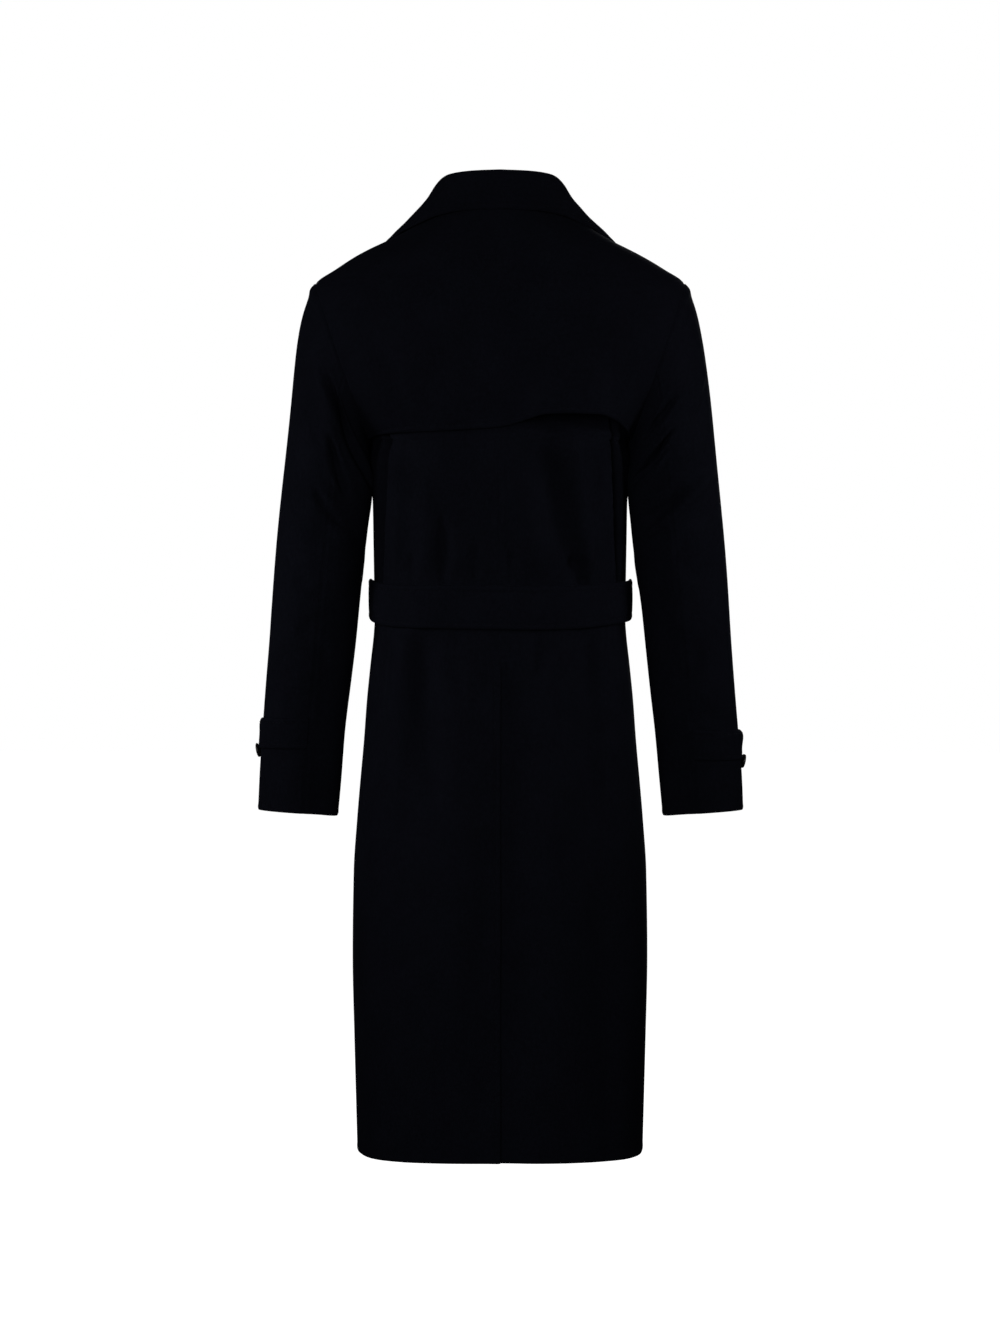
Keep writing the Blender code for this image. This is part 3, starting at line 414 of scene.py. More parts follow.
FLAP_CREASES = creases(
    (0.164, -0.15, 0.106, -0.262, 0.016, -0.0031, 0.006),
    (-0.164, -0.15, -0.122, -0.25, 0.015, -0.0036, -0.005),
    (0.04, -0.12, 0.052, -0.268, 0.026, 0.0025),
    (-0.024, -0.14, -0.018, -0.262, 0.02, -0.002),
    (-0.082, -0.15, -0.08, -0.252, 0.024, 0.0031),
    (0.086, -0.18, 0.092, -0.27, 0.016, -0.0017),
)

FRONT_CREASES = creases(
    (0.13, -0.29, 0.131, -0.442, 0.008, -0.007, 0, 0.2),
    (-0.13, -0.286, -0.132, -0.44, 0.0075, -0.0064, 0, -0.2),
    (0.112, -0.3, 0.114, -0.438, 0.012, 0.0042),
    (-0.113, -0.31, -0.112, -0.438, 0.012, 0.0039),
    (0.15, -0.215, 0.098, -0.33, 0.014, -0.0039, 0.006),
    (-0.15, -0.22, -0.101, -0.335, 0.014, -0.0036, -0.006),
    (0.082, -0.398, 0.088, -0.45, 0.008, -0.0031),
    (-0.096, -0.4, -0.093, -0.45, 0.009, -0.0034),
    (0.036, -0.42, 0.035, -0.45, 0.006, -0.002),
    (-0.03, -0.416, -0.032, -0.45, 0.006, -0.002),
    (0.127, -0.5, 0.132, -0.8, 0.02, -0.0064, 0.004),
    (-0.127, -0.5, -0.131, -0.78, 0.02, -0.0062, -0.004),
    (0.101, -0.5, 0.1, -0.64, 0.013, 0.0036),
    (-0.105, -0.5, -0.103, -0.65, 0.013, 0.0034),
    (0.048, -0.502, 0.05, -0.56, 0.008, -0.0025),
    (-0.05, -0.502, -0.048, -0.566, 0.008, -0.0025),
    (0.015, -0.502, 0.016, -0.545, 0.007, 0.0014),
    (0.11, -0.76, 0.121, -1.11, 0.028, 0.0048),
    (-0.113, -0.78, -0.122, -1.115, 0.028, 0.0042),
    (0.06, -0.78, 0.064, -1.12, 0.026, -0.0034),
    (-0.035, -0.8, -0.036, -1.12, 0.024, -0.0025),
)

SLEEVE_CREASES = {
    Side.LEFT: creases(
        (90, 2.0, 152, 4.4, 0.01, -0.0105, 0.003, 0.2),
        (92, 4.2, 120, 5.7, 0.008, -0.007, -0.003),
        (72, 2.4, 96, 4.2, 0.014, 0.005),
        (76, 6.3, 118, 6.8, 0.008, -0.0046, -0.004),
        (118, 6.7, 124, 8.8, 0.016, 0.005),
        (40, 4.2, 84, 5.0, 0.012, -0.003, 0.004),
        (60, 8.5, 108, 9.0, 0.012, -0.0034, -0.004),
        (66, 9.8, 118, 10.4, 0.013, -0.003, 0.004),
        (24, 9.0, 60, 9.9, 0.013, -0.0025, 0.004),
        (62, 11.2, 104, 11.7, 0.012, -0.0024, -0.003),
        (250, 7.4, 304, 8.7, 0.011, -0.0074, 0.006),
        (238, 8.5, 300, 9.4, 0.012, -0.007, -0.005),
        (262, 8.0, 300, 8.9, 0.009, 0.0042),
        (232, 9.5, 286, 10.4, 0.011, -0.0048, 0.004),
        (226, 2.4, 206, 6.0, 0.009, -0.009, -0.005),
        (296, 2.6, 270, 4.4, 0.012, -0.0038),
        (176, 7.0, 204, 8.2, 0.01, -0.0048),
        (0, 7.6, 0, 15.6, 0.045, 0.0016),
        (146, 0.8, 146, 15.6, 0.024, 0.0072),
    ),
    Side.RIGHT: creases(
        (88, 4.2, 140, 4.0, 0.0062, -0.0095, 0, -0.2),
        (96, 4.8, 138, 4.7, 0.009, 0.0042),
        (78, 3.3, 124, 2.3, 0.009, -0.0066),
        (24, 3.5, 56, 4.4, 0.008, 0.004),
        (30, 6.4, 136, 6.95, 0.0105, 0.0062, -0.002),
        (76, 6.3, 132, 6.3, 0.011, -0.0052),
        (40, 7.3, 100, 7.9, 0.015, -0.003, 0.004),
        (104, 8.2, 100, 9.8, 0.02, 0.0045),
        (36, 4.6, 74, 5.3, 0.012, -0.0032, -0.003),
        (70, 10.2, 118, 10.8, 0.013, -0.0032, -0.004),
        (60, 11.6, 100, 12.0, 0.012, -0.0022, 0.003),
        (252, 7.6, 306, 8.6, 0.011, -0.007, -0.006),
        (236, 8.4, 296, 9.5, 0.012, -0.0074, 0.005),
        (258, 8.2, 298, 9.0, 0.009, 0.0042),
        (234, 9.7, 284, 10.5, 0.011, -0.0045, -0.004),
        (228, 2.6, 204, 6.2, 0.009, -0.0086, 0.005),
        (294, 2.4, 268, 4.2, 0.012, -0.0038),
        (178, 7.2, 202, 8.4, 0.01, -0.0048),
        (0, 4.0, 0, 16.0, 0.045, 0.0026),
        (146, 0.8, 146, 15.6, 0.024, 0.0072),
    ),
}

# Faint waves over all the cloth: turns a metre across and along, a start and a height
RIPPLES = (
    (38.0, 9.0, 0.4, 0.0005),
    (61.0, -14.0, 1.9, 0.00035),
    (23.0, 31.0, 4.1, 0.00045),
    (97.0, 22.0, 2.7, 0.00018),
)

# Spaces from a border at which a grid is finer, so that its roll and stitches have shape
FINE_STEPS = (
    0.0, 0.0008, 0.0017, 0.0027, 0.0038, 0.0048, 0.0057, 0.0065, 0.0073, 0.0082, 0.0094, 0.0112, 0.0138,
)


def ripple(across: Floats, along: Floats) -> Floats:
    """The faint unevenness of hanging wool.

    Args:
        across: places across the cloth, in metres.
        along: places along the cloth, in metres.
    Returns:
        The rise at each place.
    """
    total = np.zeros(np.broadcast(across, along).shape)
    for wave_across, wave_along, begin, height in RIPPLES:
        total += height * np.sin(across * wave_across + along * wave_along + begin)
    return total


def spaced(length: float, step: float, fine_start: bool, fine_end: bool) -> Floats:
    """Places along a stretch of cloth, closer together beside its finished ends.

    Args:
        length: the stretch's length.
        step: the space between places away from the ends.
        fine_start: whether the start is a finished border.
        fine_end: whether the end is one.
    Returns:
        The places as shares of the length.
    """
    start = np.array(FINE_STEPS if fine_start else FINE_STEPS[:1])
    end = np.array(FINE_STEPS if fine_end else FINE_STEPS[:1])
    low = start[-1]
    high = length - end[-1]
    middle = np.linspace(low, high, max(2, round((high - low) / step)) + 1)
    return np.concatenate((start[:-1], middle, (length - end[:-1])[::-1])) / length


def smooth_rows(knots: Floats, counts: Sequence[int]) -> Floats:
    """Rows of points along smooth curves through rows of knots.

    Args:
        knots: rows of knots, each row as long as the grid is wide.
        counts: how many steps each span between two rows of knots gets.
    Returns:
        The finer rows.
    """
    run = np.linalg.norm(np.diff(knots, axis=0), axis=-1).mean(axis=1)
    slope = np.diff(knots, axis=0) / run[:, None, None]
    bend = np.concatenate((slope[:1], np.zeros_like(slope[1:]), slope[-1:]))
    for k in range(1, len(knots) - 1):
        bend[k] = (slope[k - 1] * run[k] + slope[k] * run[k - 1]) / (run[k - 1] + run[k])
    rows = [knots[:1]]
    for k, count in enumerate(counts):
        u = (np.arange(1, count + 1) / count)[:, None, None]
        near = (1 + 2 * u) * (1 - u) ** 2 * knots[k] + u * (1 - u) ** 2 * run[k] * bend[k]
        far = u * u * (3 - 2 * u) * knots[k + 1] + u * u * (u - 1) * run[k] * bend[k + 1]
        rows.append(near + far)
    return np.concatenate(rows)


# Heights and weights at which sections are blended, to work a corner soft
SOFT_WEIGHTS = ((0.0, 0.28), (0.5, 0.24), (-0.5, 0.24), (1.0, 0.12), (-1.0, 0.12))

# How far a sewn border bulges, as a share of the cloth's half, and the turns of the points round a rim
SEWN_BULGE = 0.06
RIM_TURNS = (0.87, 0.0, -0.87)


# The forms that the pieces lie on


@dataclass(frozen=True)
class BodyForm:
    """The surface of the back or the front: level sections that end at side seam, armhole and shoulder."""

    face: Face
    sections: Table = BODY_SECTIONS
    underarm: Place = (0.158, -0.28)
    tip: Place = (0.2245, -0.086)
    armhole_back: float = 0.078
    armhole_front: float = 0.068
    armhole_spread: float = 0.75
    hem_z: float = -1.133
    neck_z: float = -0.004
    belt_z: float = -0.476
    belt_reach: float = 0.034
    belt_press: float = 0.75
    crease_fade: Place = (0.88, 0.99)
    ripple_fade: Place = (0.8, 0.99)
    row_step: float = 0.005
    armhole_rows: int = 52
    shoulder_rows: int = 26
    tip_soft: float = 0.036
    hem_drop: Place = (0.0018, 0.0028)
    hem_drop_reach: float = 0.12

    @property
    def arm_middle(self) -> Floats:
        """The middle of the left armhole."""
        return np.array(((self.underarm[0] + self.tip[0]) / 2, 0.0, (self.underarm[1] + self.tip[1]) / 2))

    @property
    def arm_half(self) -> Floats:
        """From the left armhole's middle to the shoulder tip."""
        return np.array(((self.tip[0] - self.underarm[0]) / 2, 0.0, (self.tip[1] - self.underarm[1]) / 2))

    def side_edge(self, z: Floats) -> tuple[Floats, Floats, Floats]:
        """Where a section ends at the side seam, armhole or shoulder seam, and how it turns there.

        Args:
            z: the section's height.
        Returns:
            The end's x and y, and how far the section's end leans in.
        """
        turn = np.arccos(np.clip((self.arm_middle[2] - z) / self.arm_half[2], -1, 1))
        inside = (z > self.underarm[1]) & (z < self.tip[1])
        slanted = self.arm_middle[0] - self.arm_half[0] * np.cos(turn)
        edge_x = np.where(inside, slanted, self.sections.at("half_width", z))
        deep = self.armhole_back if self.face is Face.BACK else self.armhole_front
        edge_y = np.where(inside, deep * np.sin(turn), 0.0)
        spread = np.where(inside, self.armhole_spread * np.sin(turn), 0.0)
        return edge_x, edge_y, spread

    def section(self, t: Floats, z: Floats) -> Floats:
        """Plain points of the body.

        Args:
            t: the place across, 0 at the middle and 1 and -1 at the sides.
            z: the height.
        Returns:
            The points.
        """
        t, z = matched(t, z)
        s = np.abs(t)
        edge_x, edge_y, spread = self.side_edge(z)
        deep = self.sections.at("back_y" if self.face is Face.BACK else "front_y", z)
        square = self.sections.at("squareness", z)
        rise = square * (deep - edge_y)
        b = 3 * (1 - s) ** 2 * s
        c = 3 * (1 - s) * s * s
        d = s ** 3
        x = b * square * edge_x + c * (edge_x - rise * spread) + d * edge_x
        y = ((1 - s) ** 3 + b) * deep + c * (edge_y + rise) + d * edge_y
        return np.stack((np.sign(t) * x, self.face.value * y, z), axis=-1)

    def settled(self, t: Floats, z: Floats) -> Floats:
        """Points of the body, its corner at the shoulder tip's height worked soft, less near the seams.

        Args:
            t: places across.
            z: heights.
        Returns:
            The points.
        """
        t, z = matched(t, z)
        room = np.minimum(self.neck_z - z, z - self.hem_z)
        reach = np.clip(np.minimum(self.tip_soft * (1 - np.abs(t)), room), 0, None)
        total = np.zeros((*t.shape, 3))
        for shift, weight in SOFT_WEIGHTS:
            total += weight * self.section(t, z + shift * reach)
        return total

    def outward(self, t: Floats, z: Floats) -> Floats:
        """Directions straight out of the cloth at places on the body.

        Args:
            t: places across.
            z: heights.
        Returns:
            The directions.
        """
        t, z = matched(t, z)
        step_t = 0.004
        step_z = 0.0015
        across = self.settled(np.clip(t + step_t, -1, 1), z)
        across = across - self.settled(np.clip(t - step_t, -1, 1), z)
        along = self.settled(t, np.clip(z + step_z, self.hem_z, self.neck_z))
        along = along - self.settled(t, np.clip(z - step_z, self.hem_z, self.neck_z))
        normal = unit(np.cross(across, along)) * -self.face.value
        at_seam = (np.abs(t) > 0.999) & ((z <= self.underarm[1]) | (z >= self.tip[1]))
        normal[..., 1] = np.where(at_seam, 0.0, normal[..., 1])
        return unit(normal)

    def girth(self, t: Floats, z: Floats) -> Floats:
        """Distances round the body from its middle line to places on it.

        Args:
            t: places across.
            z: heights.
        Returns:
            The distances, negative on the right.
        """
        t, z = matched(t, z)
        shares = np.linspace(0, 1, 13)
        line = self.section(t[..., None] * shares, z[..., None])
        return np.sign(t) * np.linalg.norm(np.diff(line, axis=-2), axis=-1).sum(axis=-1)

    def place_across(self, x: Values, z: Values) -> Floats:
        """The place across at which a section passes a given x, found by halving.

        Args:
            x: the x to find.
            z: heights.
        Returns:
            The places across.
        """
        x, z = matched(x, z)
        low = np.zeros(x.shape)
        high = np.ones(x.shape)
        for _ in range(26):
            middle = (low + high) / 2
            short = self.section(middle, z)[..., 0] < np.abs(x)
            low = np.where(short, middle, low)
            high = np.where(short, high, middle)
        return np.sign(x) * (low + high) / 2

    def crease_rise(self, t: Floats, z: Floats, creases: Sequence[Crease]) -> Floats:
        """How far creases move the cloth out, less under the belt and none at the side seams.

        Args:
            t: places across.
            z: heights.
            creases: the creases.
        Returns:
            The rise at each place.
        """
        across = self.girth(t, z)
        total = np.zeros(across.shape)
        for crease in creases:
            ends = []
            for x, height in (crease.start, crease.end):
                place = self.place_across(x, height)
                ends.append((float(self.girth(place, height)), height))
            total += crease.lift(across, z, ends[0], ends[1])
        band = 1 - ease(0.7 * self.belt_reach, 1.3 * self.belt_reach, np.abs(z - self.belt_z))
        total = np.where(total > 0, total * (1 - self.belt_press * band), total)
        return total * (1 - ease(*self.crease_fade, np.abs(t)))

    def ripple_rise(self, t: Floats, z: Floats) -> Floats:
        """The faint unevenness of the body's cloth, none at the side seams."""
        across = self.girth(t, z) + (0.0 if self.face is Face.BACK else 1.0)
        return ripple(across, z) * (1 - ease(*self.ripple_fade, np.abs(t)))

    def cloth(self, t: Floats, z: Floats, out: Floats) -> Floats:
        """Points of the body's cloth, moved out by a distance from the plain body and let down at the hem.

        Args:
            t: places across.
            z: heights.
            out: the distance.
        Returns:
            The points.
        """
        points = self.settled(t, z) + self.outward(t, z) * out[..., None]
        drop = self.hem_drop[0] + self.hem_drop[1] * np.abs(t)
        points[..., 2] -= drop * ease(self.hem_z + self.hem_drop_reach, self.hem_z, z)
        return points

    def panel_rows(self) -> Floats:
        """Heights of a panel's rows from hem to neck.

        Returns:
            The heights.
        """
        skirt = self.underarm[1] - self.hem_z
        low = self.hem_z + skirt * spaced(skirt, self.row_step, True, False)
        bends = np.linspace(0, math.pi, self.armhole_rows + 1)[1:-1]
        arm = self.arm_middle[2] - self.arm_half[2] * np.cos(bends)
        top = np.linspace(self.tip[1], self.neck_z, self.shoulder_rows + 1)
        return np.concatenate((low, arm, top))

    def finish_side(self, grid: Floats, z: Floats) -> Floats:
        """Sets a panel's last column on its seam.

        Args:
            grid: the panel's points, changed in place.
            z: the height of each row's end.
        Returns:
            The directions from the outer to the inner face along that column.
        """
        side = 1.0 if grid[0, -1, 0] > 0 else -1.0
        mirror = np.array((side, 1.0, 1.0))
        on_arm = (z >= self.underarm[1] - 1e-6) & (z <= self.tip[1] + 1e-6)
        grid[:, -1, 1] = self.face.value * np.maximum(self.face.value * grid[:, -1, 1], 0.0)
        to_middle = unit(self.arm_middle * mirror - grid[:, -1])
        return np.where(on_arm[:, None], to_middle, -self.outward(np.full(z.shape, side), z))


@dataclass(frozen=True)
class SleeveForm:
    """A sleeve's surface: slanting rings from armhole to cuff.

    Angle 0 is the outer side, a quarter turn the back, and a half turn the side next to the body.
    """

    body: BodyForm
    side: Side
    rings: Table = SLEEVE_RINGS
    pitch: float = 0.045
    radius: float = 0.058
    head_swell: float = 0.0024
    head_pitch: float = 0.0155
    head_place: float = 0.008
    head_width: float = 0.0065
    head_round: Place = (-0.3, 0.6)
    crease_fade: Place = (0.3, 2.0)

    @property
    def last(self) -> float:
        """The cuff's ring number."""
        return self.rings.rows[-1][0]

    def plain(self, angle: Floats, ring: Floats) -> Floats:
        """Plain points of the sleeve at angles and ring numbers.

        Args:
            angle: the angles.
            ring: the ring numbers.
        Returns:
            The points.
        """
        angle, ring = matched(angle, ring)
        outer_x = self.rings.at("outer_x", ring)
        outer_z = self.rings.at("outer_z", ring)
        inner_x = self.rings.at("inner_x", ring)
        inner_z = self.rings.at("inner_z", ring)
        swing = np.cos(angle)
        behind = self.rings.at("back_half", ring)
        before = self.rings.at("front_half", ring)
        deep = np.where(np.sin(angle) > 0, behind, before)
        x = (outer_x + inner_x) / 2 + (outer_x - inner_x) / 2 * swing
        z = (outer_z + inner_z) / 2 + (outer_z - inner_z) / 2 * swing
        y = self.rings.at("mid_y", ring) + deep * np.sin(angle)
        return np.stack((self.side.value * x, y, z), axis=-1)

    def outward(self, angle: Floats, ring: Floats) -> Floats:
        """Directions straight out of the sleeve's cloth.

        Args:
            angle: the angles.
            ring: the ring numbers.
        Returns:
            The directions.
        """
        across = self.plain(angle + 0.01, ring) - self.plain(angle - 0.01, ring)
        along = self.plain(angle, np.minimum(ring + 0.03, self.last))
        along = along - self.plain(angle, np.maximum(ring - 0.03, 0))
        return unit(np.cross(across, along)) * -self.side.value

    def rise(self, angle: Floats, ring: Floats) -> Floats:
        """How far creases, faint waves and the fullness at the sleeve's head move the cloth out.

        Args:
            angle: the angles.
            ring: the ring numbers.
        Returns:
            The rise at each place.
        """
        turned = np.degrees(angle)
        along = ring * self.pitch
        total = ripple(np.sin(angle) * self.radius + self.side.value, along + np.cos(angle) * self.radius)
        for crease in SLEEVE_CREASES[self.side]:
            across = np.radians((turned - crease.start[0] + 180) % 360 - 180) * self.radius
            reach = math.radians(crease.end[0] - crease.start[0]) * self.radius
            start = (0.0, crease.start[1] * self.pitch)
            total += crease.lift(across, along, start, (reach, crease.end[1] * self.pitch))
        total = total * ease(*self.crease_fade, ring)
        head = bell(ring * self.head_pitch - self.head_place, self.head_width)
        return total + self.head_swell * head * ease(*self.head_round, np.cos(angle))

    def cloth(self, angle: Floats, ring: Floats, out: Values) -> Floats:
        """Points of the sleeve's cloth, moved out by a distance.

        Args:
            angle: the angles.
            ring: the ring numbers.
            out: the distance.
        Returns:
            The points.
        """
        angle, ring = matched(angle, ring)
        reach = self.rise(angle, ring) + out
        return self.plain(angle, ring) + self.outward(angle, ring) * reach[..., None]

    def ring_at(self, angle: Floats, z: Floats) -> Floats:
        """The ring numbers at which the sleeve passes given heights, found by halving.

        Args:
            angle: the angles.
            z: the heights.
        Returns:
            The ring numbers.
        """
        angle, z = matched(angle, z)
        low = np.zeros(z.shape)
        high = np.full(z.shape, float(self.last))
        for _ in range(26):
            middle = (low + high) / 2
            above = self.plain(angle, middle)[..., 2] > z
            low = np.where(above, middle, low)
            high = np.where(above, high, middle)
        return (low + high) / 2


# Making meshes


def grid_normals(grid: Floats) -> Floats:
    """Directions across a grid of points, from its own rows and columns."""
    return unit(np.cross(np.gradient(grid, axis=1), np.gradient(grid, axis=0)))


def mesh_piece(name: str, points: Floats, faces: Sequence[Sequence[int]], crisp: float = 60.0) -> Piece:
    """A smooth-shaded mesh in the scene.

    Args:
        name: the piece's name.
        points: its points.
        faces: its faces, by the points' numbers.
        crisp: the angle in degrees past which an edge stays crisp.
    Returns:
        The piece.
    """
    mesh = bpy.data.meshes.new(name)
    mesh.from_pydata(np.asarray(points, dtype=float).tolist(), [], faces)
    mesh.shade_smooth()
    mesh.set_sharp_from_angle(angle=math.radians(crisp))
    mesh.update()
    piece = bpy.data.objects.new(name, mesh)
    bpy.context.scene.collection.objects.link(piece)
    return piece


def tube_faces(rings: int, sides: int, base: int = 0, closed: bool = False, flip: bool = False) -> Faces:
    """Faces of a tube through rings of points.

    Args:
        rings: how many rings it has.
        sides: how many points a ring has.
        base: the number of its first point.
        closed: whether it runs round into itself. It is capped at both ends otherwise.
        flip: whether its faces look the other way.
    Returns:
        The faces.
    """
    faces = []
    for ring in range(rings if closed else rings - 1):
        near = base + ring * sides
        far = base + (ring + 1) % rings * sides
        for k in range(sides):
            after = (k + 1) % sides
            faces.append((near + k, near + after, far + after, far + k))
    if not closed:
        last = base + (rings - 1) * sides
        faces.append(tuple(range(base + sides - 1, base - 1, -1)))
        faces.append(tuple(range(last, last + sides)))
    return [face[::-1] for face in faces] if flip else faces


def set_uv(piece: Piece, places: Floats) -> None:
    """Lays a piece's cloth out flat, in metres.

    Args:
        piece: the piece.
        places: the flat place of each point.
    """
    mesh = piece.data
    corners = np.zeros(len(mesh.loops), dtype=np.int32)
    mesh.loops.foreach_get("vertex_index", corners)
    layer = mesh.uv_layers.new(name="cloth")
    layer.data.foreach_set("uv", places[corners].astype(np.float32).ravel())


# A thread's rings: the place along it, and its thickness and height there, in thicknesses
THREAD_RINGS = ((-0.5, 0.4, -0.7), (-0.27, 1.0, 0.3), (0.27, 1.0, 0.3), (0.5, 0.4, -0.7))


@dataclass(frozen=True)
class StitchRow:
    """A row of stitches: its distance from the border, and one stitch's sizes."""

    inset: float = 0.0066
    length: float = 0.0038
    gap: float = 0.0015
    thick: float = 0.00066
    dip: float = 0.0005
    dip_width: float = 0.0017

    def bars(self, middle: Floats, along: Floats, up: Floats, length: float) -> tuple[Floats, Faces]:
        """Plump threads that dip into the cloth at both ends.

        Args:
            middle: the middle of each thread.
            along: the direction of each thread.
            up: the direction out of the cloth at each thread.
            length: the threads' length.
        Returns:
            The points and the faces.
        """
        aside = np.cross(up, along)
        sides = 5
        points = []
        for place, size, height in THREAD_RINGS:
            centre = middle + along * place * length + up * height * self.thick
            for turn in turns(sides):
                reach = aside * math.cos(turn) + up * math.sin(turn)
                points.append(centre + reach * size * self.thick / 2)
        faces = []
        for n in range(len(middle)):
            faces += tube_faces(len(THREAD_RINGS), sides, n * len(points))
        return np.stack(points, axis=1).reshape(-1, 3), faces

    def along(self, line: Floats, up: Floats) -> tuple[Floats, Faces]:
        """Stitches along a line on the cloth.

        Args:
            line: the line's points.
            up: the direction out of the cloth at each point.
        Returns:
            The points and the faces.
        """
        steps = np.linalg.norm(np.diff(line, axis=0), axis=1)
        far = np.concatenate(((0.0,), np.cumsum(steps)))
        pitch = self.length + self.gap
        count = int(far[-1] // pitch)
        if count < 1:
            return np.zeros((0, 3)), []
        places = (np.arange(count) + 0.5) * pitch + (far[-1] - count * pitch) / 2
        reach = self.length / 2
        way = unit(read_line(line, far, places + reach) - read_line(line, far, places - reach))
        out = read_line(up, far, places)
        out = unit(out - way * (out * way).sum(axis=1, keepdims=True))
        return self.bars(read_line(line, far, places), way, out, self.length)


# Swells and dips of the cloth beside a border: the height, the distance from the border and the width
TURNED_SWELLS = ((0.00035, 0.0036, 0.003), (-0.0004, 0.0, 0.0012))
EDGE_SWELLS = {
    EdgeKind.SEAM: ((0.0003, 0.0046, 0.003), (-0.0001, 0.0012, 0.0011)),
    EdgeKind.SET_IN: ((0.0016, 0.0, 0.01),),
    EdgeKind.TURNED: TURNED_SWELLS,
    EdgeKind.STITCHED: TURNED_SWELLS,
    EdgeKind.COVERED: (),
}


@dataclass(frozen=True)
class EdgeRun:
    """A finish along a border, between two heights."""

    kind: EdgeKind
    low: float = -9.0
    high: float = 9.0

    def weight(self, z: Floats) -> Floats:
        """How much of the finish each height has, 0 to 1."""
        soft = 0.006
        return ease(self.low - soft, self.low + soft, z) * (1 - ease(self.high - soft, self.high + soft, z))

    def rise(self, away: Floats, along: Floats, stitch: StitchRow) -> Floats:
        """How far the finish moves the cloth out.

        Args:
            away: distances from the border.
            along: distances along it.
            stitch: the stitches beside it.
        Returns:
            The rise at each place.
        """
        total = np.zeros(away.shape)
        for height, place, width in EDGE_SWELLS[self.kind]:
            total += height * bell(away - place, width)
        if self.kind is EdgeKind.STITCHED:
            pucker = 1 + 0.35 * np.sin(along * 330 + 2 * np.sin(along * 61))
            total = total - stitch.dip * pucker * bell(away - stitch.inset, stitch.dip_width)
        return total


# Borders finished one way all along
SEAM_EDGE = (EdgeRun(EdgeKind.SEAM),)
TURNED_EDGE = (EdgeRun(EdgeKind.TURNED),)
STITCHED_EDGE = (EdgeRun(EdgeKind.STITCHED),)

# The borders of a strip with both edges stitched
STRIP_BORDERS = {Border.FIRST: STITCHED_EDGE, Border.LAST: STITCHED_EDGE, Border.END: TURNED_EDGE}


